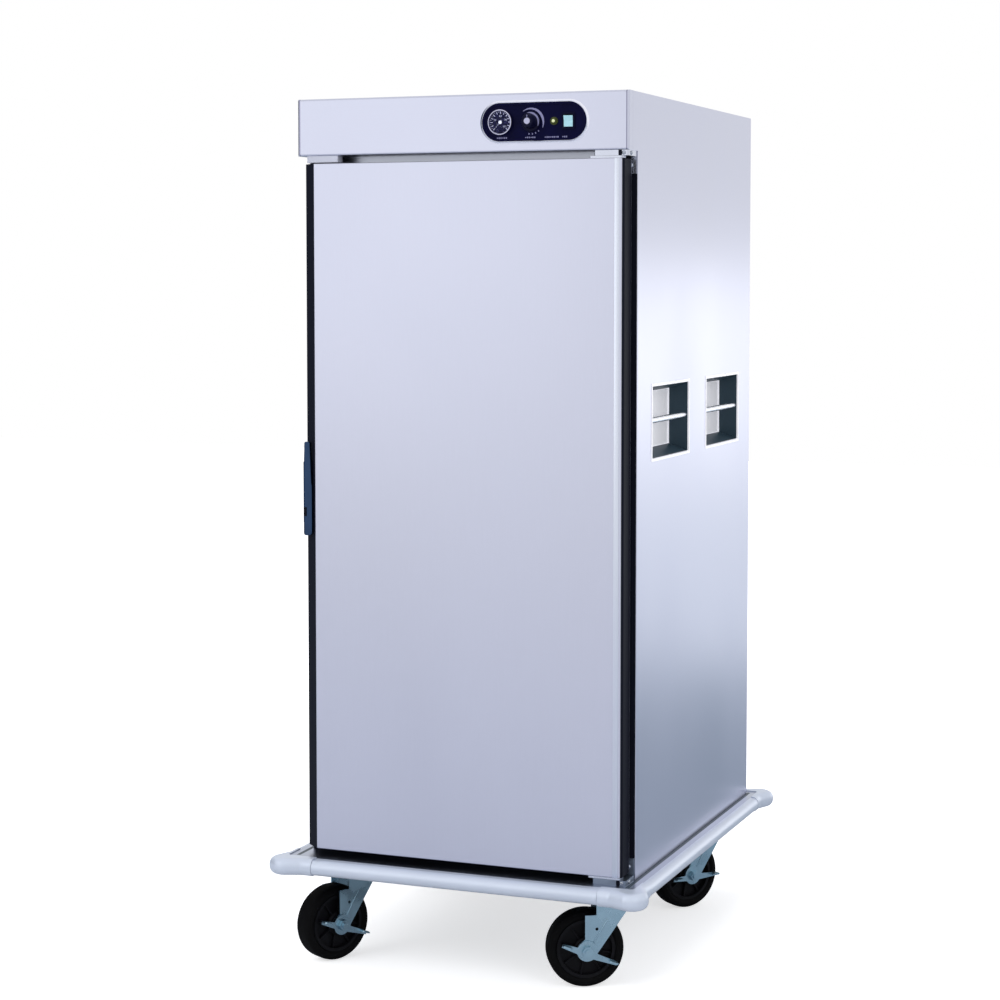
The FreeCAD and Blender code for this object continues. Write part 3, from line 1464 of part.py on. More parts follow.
def caster_bolt(x, y):
    """A bolt up through the castor plate and the channel's wall, with its nut inside the channel."""
    head_top = caster_height - caster_plate_sheet
    head = hexagon(caster_bolt_flats, caster_bolt_head, V(x, y, head_top - caster_bolt_head))
    nut_bottom = caster_height + chassis_wall
    nut = hexagon(caster_bolt_flats, caster_nut_height, V(x, y, nut_bottom))
    shank = rod(caster_bolt_radius, nut_bottom + caster_nut_height - head_top, V(x, y, head_top))
    return head.fuse([nut, shank])


def fasteners():
    """The castor bolts, the rear cover's screws and the hinge screws."""
    bolts = [caster_bolt(x, y) for x, y in caster_bolt_points()]
    cover_screws = [screw(-Y_AXIS, V(x, back_y + shell_sheet, z)) for x, z in cover_screw_points()]
    hinge_screws = [screw(Y_AXIS, V(hinge_screw_x(), jamb_y - hinge_leg_sheet, z))
                    for z in hinge_leg_centres()]
    half_arm = hinge_arm_height() / 2
    arm_screws = [screw(inwards, seat) for z in (deck_z + half_arm, head_z - half_arm)
                  for seat, inwards in arm_screw_seats(z)]
    return bolts + cover_screws + hinge_screws + arm_screws


# ---------------------------------------------------------------- the whole cabinet

def all_nodes():
    """Every sub-part's name and its solids."""
    nodes = {
        "chassis_frame": chassis_frame(),
        "base_pan": [base_pan()],
        "bumper_rails": bumper_rails(),
        "bumper_corners": bumper_corners(),
        "side_panel_right": [side_panel()],
        "side_panel_left": [mirrored(side_panel())],
        "grip_cups": grip_cups(),
        "grip_bars": grip_bars(),
        "back_panel": [back_panel()],
        "top_panel": [top_panel()],
        "control_fascia": [control_fascia()],
        "front_frame": [front_frame()],
        "cabin_liner": cabin_liner(),
        "insulation_panels": insulation_panels(),
        "control_shelf": [control_shelf()],
        "tray_rack": tray_rack(),
        "air_baffle": [air_baffle()],
        "heating_element": [heating_element()],
        "blower_motor": [blower_motor()],
        "impeller": [impeller()],
        "rear_cover": [rear_cover()],
        "cable_gland": [cable_gland()],
        "fasteners": fasteners(),
        "control_bezel": [control_bezel()],
        "thermometer_case": [thermometer_case()],
        "thermometer_dial": [thermometer_dial()],
        "thermometer_needle": [thermometer_needle()],
        "thermometer_lens": [thermometer_lens()],
        "thermostat_body": [thermostat_body()],
        "thermostat_knob": [thermostat_knob()],
        "pilot_lamp": [pilot_lamp()],
        "switch_housing": [switch_housing()],
        "switch_rocker": [switch_rocker()],
        "hinge_brackets": hinge_brackets(),
        "guide_block": [guide_block()],
        "latch_strike": [latch_strike()],
        "caster_plates": [caster_plate(x, y) for x, y in caster_centres().values()],
        "door_skin": [door_skin()],
        "door_liner": [door_liner()],
        "door_insulation": [door_insulation()],
        "door_gasket": [door_gasket()],
        "door_hinge_plates": door_hinge_plates(),
        "latch_body": [latch_body()],
        "latch_lever": [latch_lever()],
    }
    nodes.update(caster_nodes())
    return nodes


def main():
    """Write one file per sub-part."""
    os.makedirs("parts", exist_ok=True)
    for name, solids in all_nodes().items():
        shape = solids[0] if len(solids) == 1 else Part.makeCompound(solids)
        shape.exportStep("parts/" + name + ".step")


main()
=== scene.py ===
"""Studio scene of a tall heated food trolley: finishes for its solids, and the fine pieces they leave out.

All lengths in the classes are millimetres in the cabinet's own frame: +Z up, the door faces -Y, and the
origin is on the floor under the middle of the shell. They become metres when a piece is finished.
"""
import json
import logging
import math
from dataclasses import dataclass, field, replace
from enum import Enum
from typing import Iterable, Mapping, Optional, Sequence

import bmesh
import bpy
from mathutils import Matrix, Vector


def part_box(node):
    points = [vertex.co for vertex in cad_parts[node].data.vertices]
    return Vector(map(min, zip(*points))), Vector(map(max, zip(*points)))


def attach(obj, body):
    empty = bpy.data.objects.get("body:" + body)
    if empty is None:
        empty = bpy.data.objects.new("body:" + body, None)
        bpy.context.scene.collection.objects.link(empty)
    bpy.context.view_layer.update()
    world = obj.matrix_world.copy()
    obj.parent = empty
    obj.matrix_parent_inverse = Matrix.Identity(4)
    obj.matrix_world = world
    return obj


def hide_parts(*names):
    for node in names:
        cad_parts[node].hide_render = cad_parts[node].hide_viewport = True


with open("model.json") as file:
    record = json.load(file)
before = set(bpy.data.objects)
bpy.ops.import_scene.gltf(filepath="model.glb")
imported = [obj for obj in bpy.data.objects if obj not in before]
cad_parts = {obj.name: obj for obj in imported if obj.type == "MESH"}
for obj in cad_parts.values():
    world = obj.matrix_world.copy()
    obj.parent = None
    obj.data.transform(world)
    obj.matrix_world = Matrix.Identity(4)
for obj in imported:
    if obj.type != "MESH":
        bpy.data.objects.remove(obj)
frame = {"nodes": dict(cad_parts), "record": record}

LOG = logging.getLogger("trolley")
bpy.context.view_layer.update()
Pair = tuple[float, float]
Point = tuple[float, float, float]
Tree, Socket = bpy.types.NodeTree, bpy.types.NodeSocket
Vert, Edge = bmesh.types.BMVert, bmesh.types.BMEdge
COLOUR_A, COLOUR_B, COLOUR_RESULT = 6, 7, 2   # the Mix node's sockets for colours
SCRATCH_WIDTH, SCRATCH_GAIN, SCRATCH_LIFT = 0.006, 1.25, 0.03
DUST_TOP = 0.16
REGION_EDGE = 0.0003
SAME_PLACE = 0.002   # points nearer than this are merged
SHARP_FROM = 38      # degrees between faces that meet in a hard edge


class Axis(Enum):
    """The way a round piece points."""

    X = Matrix.Rotation(math.radians(90), 3, "Y")
    Y = Matrix.Rotation(math.radians(-90), 3, "X")
    Z = Matrix.Identity(3)


class Texture(Enum):
    """How much of a finish's tone comes from its grain; broad clouds give the rest."""

    BRUSHED = 0.35
    MOULDED = 0.5
    CLOUDY = 0.2
    FIBRE = 0.85


# ---------------------------------------------------------------- shader nodes


def add(tree: Tree, kind: str, inputs: Optional[Mapping[object, object]] = None,
        **options: object) -> bpy.types.Node:
    """Add a shader node.

    Args:
        tree: The nodes to add to.
        kind: The node's type without its first word.
        inputs: For each input, by name or number, a socket to link or a plain value.
        options: The node's own settings.

    Returns:
        The new node.
    """
    node = tree.nodes.new("ShaderNode" + kind)
    for label, value in options.items():
        setattr(node, label, value)
    for label, value in (inputs or {}).items():
        if isinstance(value, Socket):
            tree.links.new(value, node.inputs[label])
        else:
            node.inputs[label].default_value = value
    return node


def joined(tree: Tree, operation: str, *values: object, clamp: bool = False) -> Socket:
    """Join numbers, sockets or plain, with one arithmetic step."""
    return add(tree, "Math", dict(enumerate(values)), operation=operation, use_clamp=clamp).outputs[0]


def vectors(tree: Tree, operation: str, *values: object) -> Socket:
    """Join vectors, sockets or plain, with one step."""
    return add(tree, "VectorMath", dict(enumerate(values)), operation=operation).outputs[0]


def spread(tree: Tree, value: Socket, given: Pair = (0, 1),
           wanted: Pair = (0, 1), smooth: bool = False) -> Socket:
    """Spread a value's given range over a wanted one.

    Args:
        tree: The nodes to add to.
        value: The value.
        given: The two ends of its own range.
        wanted: What those ends become.
        smooth: Whether the change eases in and out.

    Returns:
        The new value.
    """
    limits = {"From Min": given[0], "From Max": given[1], "To Min": wanted[0], "To Max": wanted[1]}
    kind = "SMOOTHSTEP" if smooth else "LINEAR"
    return add(tree, "MapRange", {"Value": value, **limits}, interpolation_type=kind).outputs["Result"]


def mixed(tree: Tree, factor: Socket, first: object, second: object) -> Socket:
    """Mix two colours, each a socket or a plain colour."""
    colours = {label: (*value, 1) if isinstance(value, tuple) else value
               for label, value in ((COLOUR_A, first), (COLOUR_B, second))}
    return add(tree, "Mix", {"Factor": factor, **colours}, data_type="RGBA").outputs[COLOUR_RESULT]


def object_space(tree: Tree) -> Socket:
    """The object's own coordinates."""
    return add(tree, "TexCoord").outputs["Object"]


# ---------------------------------------------------------------- finishes


class Effects:
    """The node groups that the finishes share, each built once."""

    def __init__(self) -> None:
        """Build every group."""
        self.grain = self._grain()
        self.clouds = self._clouds()
        self.marks = self._marks()
        self.dust = self._dust()
        self.region = self._region()

    @staticmethod
    def _group(name: str, inputs: Mapping[str, object], *outputs: str
               ) -> tuple[Tree, bpy.types.NodeOutputs, bpy.types.NodeInputs]:
        """Start a node group.

        Args:
            name: The group's name.
            inputs: The default of each input, a number or a vector.
            outputs: The name of each output; all are numbers.

        Returns:
            The tree, what comes into it and what goes out of it.
        """
        tree = bpy.data.node_groups.new(name, "ShaderNodeTree")
        for label, default in inputs.items():
            kind = "NodeSocketVector" if isinstance(default, tuple) else "NodeSocketFloat"
            tree.interface.new_socket(label, in_out="INPUT", socket_type=kind).default_value = default
        for label in outputs:
            tree.interface.new_socket(label, in_out="OUTPUT", socket_type="NodeSocketFloat")
        return tree, tree.nodes.new("NodeGroupInput").outputs, tree.nodes.new("NodeGroupOutput").inputs

    def _grain(self) -> Tree:
        """Fine directional or even grain: a value and a height."""
        tree, given, result = self._group("surface_grain", {"Stretch": (1, 1, 1)}, "Value", "Height")
        place = vectors(tree, "MULTIPLY", object_space(tree), given["Stretch"])
        fine = add(tree, "TexNoise", {"Vector": place, "Scale": 1, "Roughness": 0.62, "Detail": 3})
        tree.links.new(spread(tree, fine.outputs["Fac"], (0.3, 0.7)), result["Value"])
        tree.links.new(fine.outputs["Fac"], result["Height"])
        return tree

    def _clouds(self) -> Tree:
        """Broad soft patches, as on sheet that has been wiped and handled."""
        tree, given, result = self._group("soft_clouds", {"Stretch": (1, 1, 1)}, "Value")
        place = vectors(tree, "MULTIPLY", object_space(tree), given["Stretch"])
        noise = add(tree, "TexNoise", {"Vector": place, "Scale": 1, "Detail": 2.5, "Distortion": 0.4})
        tree.links.new(spread(tree, noise.outputs["Fac"], (0.32, 0.68), smooth=True), result["Value"])
        return tree

    def _marks(self) -> Tree:
        """Sparse fine scratches from use."""
        tree, given, result = self._group("use_marks", {"Amount": 0.3}, "Mask")
        wave = add(tree, "TexNoise", {"Vector": object_space(tree), "Scale": 40, "Detail": 2,
                                      "Distortion": 2.2})
        near = joined(tree, "COMPARE", wave.outputs["Fac"], 0.5, SCRATCH_WIDTH)
        tree.links.new(joined(tree, "MULTIPLY", near, given["Amount"]), result["Mask"])
        return tree

    def _dust(self) -> Tree:
        """Dust that thickens towards the floor, broken up by noise."""
        tree, given, result = self._group("floor_dust", {"Amount": 0.5}, "Mask")
        place = object_space(tree)
        height = add(tree, "SeparateXYZ", {0: place}).outputs["Z"]
        low = spread(tree, height, (0, DUST_TOP), (1, 0))
        noise = add(tree, "TexNoise", {"Vector": place, "Scale": 55, "Detail": 4})
        broken = joined(tree, "MULTIPLY", low, noise.outputs["Fac"])
        tree.links.new(joined(tree, "MULTIPLY", broken, given["Amount"], clamp=True), result["Mask"])
        return tree

    def _region(self) -> Tree:
        """A box in the object's own space, the same on its left and right half: one inside, zero outside."""
        tree, given, result = self._group("box_region", {"Centre": (0, 0, 0), "Half": (1, 1, 1)}, "Mask")
        place = add(tree, "SeparateXYZ", {0: object_space(tree)}).outputs
        folded = add(tree, "CombineXYZ", {"X": joined(tree, "ABSOLUTE", place["X"]), "Y": place["Y"],
                                          "Z": place["Z"]}).outputs[0]
        away = vectors(tree, "ABSOLUTE", vectors(tree, "SUBTRACT", folded, given["Centre"]))
        beyond = add(tree, "SeparateXYZ", {0: vectors(tree, "SUBTRACT", away, given["Half"])}).outputs
        far = joined(tree, "MAXIMUM", joined(tree, "MAXIMUM", beyond["X"], beyond["Y"]), beyond["Z"])
        tree.links.new(spread(tree, far, (-REGION_EDGE, REGION_EDGE), (1, 0)), result["Mask"])
        return tree


@dataclass(frozen=True)
class ShadeInlay:
    """A second surface on the same solid, inside a box given in metres on the right half, used for painted
    shade.
    """

    colour: Point
    rough: float
    metallic: float
    centre: Point
    half: Point


@dataclass(frozen=True)
class Finish:
    """One surface finish.

    Its tone runs from a darker shade of the colour to the colour itself, and its roughness runs with it.
    """

    colour: Point
    rough: Pair
    texture: Texture = Texture.MOULDED
    metallic: float = 0.0
    shade: float = 0.9
    grain: Point = (900, 900, 900)
    clouds: Point = (5, 5, 3)
    bump: float = 0.1
    depth: float = 0.0003
    marks: float = 0.0
    dust: float = 0.0
    transmission: float = 0.0
    glow: float = 0.0
    specular: float = 0.5
    ior: float = 1.5
    shade_inlay: Optional[ShadeInlay] = None

    def material(self, name: str, effects: Effects) -> bpy.types.Material:
        """Build the material.

        Args:
            name: The material's name.
            effects: The shared node groups.

        Returns:
            The finished material.
        """
        made = bpy.data.materials.new(name)
        made.use_nodes = True
        tree = made.node_tree
        shader = tree.nodes["Principled BSDF"]
        for label, value in (("Metallic", self.metallic), ("Transmission Weight", self.transmission),
                             ("Specular IOR Level", self.specular), ("IOR", self.ior)):
            shader.inputs[label].default_value = value
        grain = add(tree, "Group", {"Stretch": self.grain}, node_tree=effects.grain)
        clouds = add(tree, "Group", {"Stretch": self.clouds}, node_tree=effects.clouds)
        tone = add(tree, "Mix", {"Factor": self.texture.value, "A": clouds.outputs["Value"],
                                 "B": grain.outputs["Value"]}).outputs["Result"]
        surface = mixed(tree, tone, tuple(channel * self.shade for channel in self.colour), self.colour)
        rough = spread(tree, tone, wanted=self.rough)
        if self.marks:
            marks = add(tree, "Group", {"Amount": self.marks}, node_tree=effects.marks)
            pale = tuple(min(1, channel * SCRATCH_GAIN + SCRATCH_LIFT) for channel in self.colour)
            surface = mixed(tree, marks.outputs["Mask"], surface, pale)
        if self.dust:
            dust = add(tree, "Group", {"Amount": self.dust}, node_tree=effects.dust)
            surface = mixed(tree, dust.outputs["Mask"], surface, DUST)
        if self.shade_inlay:
            surface, rough = self._shade_inlaid(tree, effects, shader, surface, rough)
        tree.links.new(surface, shader.inputs["Base Color"])
        tree.links.new(rough, shader.inputs["Roughness"])
        bump = add(tree, "Bump", {"Strength": self.bump, "Distance": self.depth,
                                  "Height": grain.outputs["Height"]})
        tree.links.new(bump.outputs["Normal"], shader.inputs["Normal"])
        if self.glow:
            tree.links.new(surface, shader.inputs["Emission Color"])
            shader.inputs["Emission Strength"].default_value = self.glow
        return made

    def _shade_inlaid(self, tree: Tree, effects: Effects, shader: bpy.types.Node,
                surface: Socket, rough: Socket
                ) -> tuple[Socket, Socket]:
        """Lay the second surface, painted shade, over the first inside its box.

        Args:
            tree: The material's nodes.
            effects: The shared node groups.
            shader: The material's shader, whose metallic value is set here.
            surface: The first surface's colour.
            rough: The first surface's roughness.

        Returns:
            The colour and the roughness of both surfaces together.
        """
        mask = add(tree, "Group", {"Centre": self.shade_inlay.centre, "Half": self.shade_inlay.half},
                   node_tree=effects.region).outputs["Mask"]
        metal = spread(tree, mask, wanted=(self.metallic, self.shade_inlay.metallic))
        tree.links.new(metal, shader.inputs["Metallic"])
        blend = add(tree, "Mix", {"Factor": mask, "A": rough, "B": self.shade_inlay.rough})
        return mixed(tree, mask, surface, self.shade_inlay.colour), blend.outputs["Result"]


DUST = (0.34, 0.33, 0.31)
STEEL = (0.58, 0.6, 0.72)
NEAR_BLACK = (0.006, 0.007, 0.014)
ALONG_Z = (900, 900, 14)
ALONG_X = (14, 900, 900)
ALONG_Y = (900, 14, 900)


def even(value: float) -> Point:
    """The same value three times."""
    return value, value, value


class Finishes:
    """Every finish on the trolley, by the record's slot, with the few nodes that differ from their slot."""

    by_slot: dict[str, Finish] = {
        "stainless_shell": Finish(
            STEEL, (0.28, 0.36), Texture.BRUSHED, metallic=1, shade=0.95, grain=ALONG_Z,
            clouds=(2.2, 2.2, 1.2), bump=0.05, depth=0.0002, marks=0.04),
        "stainless_inner": Finish(
            (0.66, 0.67, 0.7), (0.24, 0.34), Texture.BRUSHED, metallic=1, grain=ALONG_Z, clouds=(3, 3, 2),
            bump=0.06, depth=0.0002, marks=0.08),
        "chassis_paint": Finish(
            (0.1, 0.12, 0.14), (0.45, 0.6), shade=0.85, bump=0.25, depth=0.0004, dust=0.4),
        "bumper_vinyl": Finish(
            (0.6, 0.66, 0.78), (0.28, 0.36), Texture.CLOUDY, metallic=0.25, shade=0.95, grain=even(250),
            clouds=even(6), bump=0.02, depth=0.0001),
        "zinc_plate": Finish(
            (0.36, 0.52, 0.62), (0.22, 0.36), Texture.CLOUDY, metallic=1, shade=0.85, grain=even(500),
            clouds=even(18), bump=0.04, depth=0.0002),
        "tyre_rubber": Finish(
            (0.003, 0.003, 0.0036), (0.6, 0.8), shade=0.7, grain=even(420), clouds=even(25), bump=0.25,
            depth=0.0006, dust=0.012, specular=0.05),
        "hub_nylon": Finish(
            (0.004, 0.004, 0.006), (0.45, 0.6), shade=0.8, bump=0.15, dust=0.012, specular=0.12),
        "hinge_steel": Finish(
            (0.6, 0.63, 0.73), (0.16, 0.28), Texture.BRUSHED, metallic=1, shade=0.88, grain=ALONG_X,
            clouds=even(20), bump=0.06, depth=0.0002, marks=0.06),
        "latch_steel": Finish(
            (0.03, 0.06, 0.13), (0.25, 0.38), Texture.BRUSHED, metallic=0.9, shade=0.7, grain=ALONG_Z,
            clouds=(20, 20, 8), bump=0.08, depth=0.0002),
        "guide_plastic": Finish((0.54, 0.56, 0.66), (0.35, 0.5), specular=0.3),
        # Near-black frame round the door: painted shade in the gaps round the door.
        "frame_break": Finish(NEAR_BLACK, (0.5, 0.65), bump=0.12, specular=0.05),
        "gasket_rubber": Finish(
            (0.03, 0.032, 0.036), (0.4, 0.55), shade=0.85, grain=even(600), bump=0.12, specular=0.25),
        "insulation_wool": Finish(
            (0.62, 0.52, 0.28), (0.85, 1), Texture.FIBRE, shade=0.6, grain=(260, 40, 400), clouds=even(14),
            bump=0.8, depth=0.003, specular=0.1),
        "heater_sheath": Finish(
            (0.2, 0.17, 0.16), (0.35, 0.5), Texture.CLOUDY, metallic=1, shade=0.6, grain=even(600),
            clouds=even(30)),
        "motor_case": Finish(
            (0.45, 0.46, 0.48), (0.4, 0.55), metallic=1, shade=0.8, grain=even(350), bump=0.35, depth=0.0005),
        "fan_aluminium": Finish(
            (0.66, 0.67, 0.69), (0.3, 0.42), Texture.BRUSHED, metallic=1, grain=ALONG_X, bump=0.08),
        "bezel_gloss": Finish(
            (0.0022, 0.0024, 0.027), (0.25, 0.36), Texture.CLOUDY, shade=0.7, grain=even(800),
            clouds=even(30), bump=0.03, depth=0.0002, specular=0.04),
        "dial_case_chrome": Finish(
            (0.46, 0.46, 0.6), (0.14, 0.24), Texture.CLOUDY, metallic=1, shade=0.85, grain=even(500),
            clouds=even(60), bump=0.02, depth=0.0001),
        "dial_paint": Finish((0.012, 0.012, 0.04), (0.5, 0.65), bump=0.04, specular=0.05),
        "needle_paint": Finish((0.16, 0.16, 0.24), (0.4, 0.5), bump=0.05, specular=0.1),
        "dial_glass": Finish(
            (0.95, 0.97, 1), (0, 0.03), Texture.CLOUDY, shade=0.98, grain=even(300), clouds=even(50),
            bump=0.01, depth=0.0001, transmission=1, ior=1.06),
        "knob_plastic": Finish((0.0035, 0.004, 0.02), (0.3, 0.42), bump=0.08, specular=0.08),
        "lamp_lens": Finish(
            (0.055, 0.07, 0.016), (0.12, 0.22), Texture.CLOUDY, shade=0.75, grain=even(300), clouds=even(120),
            bump=0.05, specular=0.2),
        "switch_black": Finish((0.003, 0.0035, 0.018), (0.35, 0.5), bump=0.08, specular=0.05),
        "rocker_pale": Finish(
            (0.36, 0.62, 0.7), (0.25, 0.38), Texture.CLOUDY, shade=0.92, grain=even(400), clouds=even(90),
            bump=0.03, glow=0.12, specular=0.3),
        "gland_nylon": Finish((0.03, 0.03, 0.035), (0.4, 0.55), bump=0.15),
        "screw_steel": Finish(
            (0.5, 0.54, 0.62), (0.18, 0.3), Texture.CLOUDY, metallic=1, shade=0.7, grain=even(500),
            clouds=even(80), bump=0.05),
    }
    # Each box below paints shade: a dark line on the fascia's folded corner, a shadow on the deck pan's side,
    # dark sides on the door, darker steel over the door on a frame painted near-black as shade, dark side
    # walls in the grip cups and a darker lower hinge arm.
    by_node: dict[str, dict[str, object]] = {
        # Painted shade: a dark line down the fascia's folded corner.
        "control_fascia": {"grain": ALONG_X, "shade_inlay": ShadeInlay(
            (0.22, 0.22, 0.32), 0.3, 1, centre=(0.3352, -0.42, 1.66), half=(0.001, 0.03, 1))},
        "top_panel": {"grain": ALONG_X},
        "control_shelf": {"grain": ALONG_X},
        "air_baffle": {"grain": ALONG_X},
        # Painted shadow: a dark strip on the deck pan along the side panels' foot.
        "base_pan": {"grain": ALONG_Y, "colour": (0.42, 0.46, 0.56), "shade_inlay": ShadeInlay(
            (0.035, 0.055, 0.08), 0.5, 0.2, centre=(0.343, 0, 0.226), half=(0.004, 0.43, 0.02))},
        # Painted shade: the door's sides are near-black, with low specular to keep them dark.
        "door_skin": {"specular": 0.05, "shade_inlay": ShadeInlay(
            NEAR_BLACK, 0.5, 0, centre=(0, -0.4, 0.9), half=(1, 0.0217, 1))},
        # The frame is painted near-black as shade in the door's gaps; over the door it is a darker steel,
        # partly painted shade.
        "front_frame": {"shade_inlay": ShadeInlay(
            (0.42, 0.44, 0.5), 0.3, 1, centre=(0, -0.36, 1.61), half=(0.31, 0.1, 0.022))},
        # Painted light and shade: the cups' pale back walls glow, and their side walls are painted dark.
        "grip_cups": {"colour": (0.9, 0.9, 0.94), "metallic": 0.2, "specular": 0.2, "glow": 0.2,
                      "shade_inlay": ShadeInlay((0.018, 0.034, 0.048), 0.4, 0, centre=(0.318, 0, 1.089),
                                     half=(0.0195, 1, 1))},
        "grip_bars": {"colour": (0.86, 0.88, 0.94)},
        # Painted shade: the lower hinge arm is darker than the upper one.
        "hinge_brackets": {"shade_inlay": ShadeInlay(
            (0.26, 0.31, 0.39), 0.4, 1, centre=(0.27, -0.4, 0.2), half=(0.07, 0.2, 0.1))},
        "latch_body": {"colour": NEAR_BLACK, "metallic": 0, "specular": 0.05},
    }
    extra: dict[str, Finish] = {
        # Print; the knob skirt's pale crescent wears it too, as a painted highlight.
        "print_and_painted_highlight": Finish((0.27, 0.27, 0.46), (0.3, 0.45), bump=0.03, specular=0.1),
        # Steel painted brighter than the fascia's, a highlight on the panel's rim.
        "trim_painted_highlight": Finish(
            (0.86, 0.87, 0.97), (0.22, 0.3), Texture.BRUSHED, metallic=1, shade=0.95, grain=ALONG_X,
            clouds=even(40), bump=0.03, depth=0.0001),
        "pale_print": Finish((0.5, 0.5, 0.66), (0.4, 0.5), bump=0.03, specular=0.1),
        # Painted light: a white hub that glows.
        "hub_painted_glow": Finish((0.8, 0.8, 0.9), (0.2, 0.3), bump=0.03, glow=0.15),
        "knob_cap": Finish((0.46, 0.46, 0.64), (0.3, 0.4), bump=0.03, specular=0.3),
        "lamp_core": Finish((0.62, 0.66, 0.38), (0.2, 0.3), bump=0.03, glow=0.25),
        # Steel painted brighter than the door's, a highlight on the hinge-side bead.
        "door_edge_highlight": Finish(
            (0.66, 0.7, 0.8), (0.24, 0.32), Texture.BRUSHED, metallic=1, shade=0.95, grain=ALONG_Z,
            clouds=(2.2, 2.2, 1.2), bump=0.03, depth=0.0001),
        "black_bush": Finish(NEAR_BLACK, (0.4, 0.5), bump=0.08, specular=0.05),
    }

    def __init__(self, effects: Effects) -> None:
        """Keep the shared groups; materials are built when first asked for."""
        self.effects = effects
        self.made: dict[str, bpy.types.Material] = {}

    def of(self, name: str, finish: Finish) -> bpy.types.Material:
        """The material of a finish."""
        if name not in self.made:
            self.made[name] = finish.material(name, self.effects)
        return self.made[name]

    def for_slot(self, slot: str) -> bpy.types.Material:
        """The material of a record slot or of one of the extra finishes."""
        return self.of(slot, self.by_slot.get(slot) or self.extra[slot])

    def for_node(self, node: str, slot: str) -> bpy.types.Material:
        """The material of a CAD node: its slot's finish, with what that node alone changes."""
        if node not in self.by_node:
            return self.for_slot(slot)
        return self.of(slot + "_" + node, replace(self.by_slot[slot], **self.by_node[node]))


# ---------------------------------------------------------------- mesh building


def at(place: Sequence[float], degrees: float = 0.0, axis: str = "Y") -> Matrix:
    """A turn about an axis through the origin, then a move."""
    return Matrix.Translation(place) @ Matrix.Rotation(math.radians(degrees), 4, axis)


def points(geom: Iterable[object]) -> list[Vert]:
    """The points among some parts of a mesh."""
    return [item for item in geom if isinstance(item, Vert)]


def edges_of(verts: Iterable[Vert]) -> list[Edge]:
    """Every edge at some points."""
    return list({edge for vert in verts for edge in vert.link_edges})


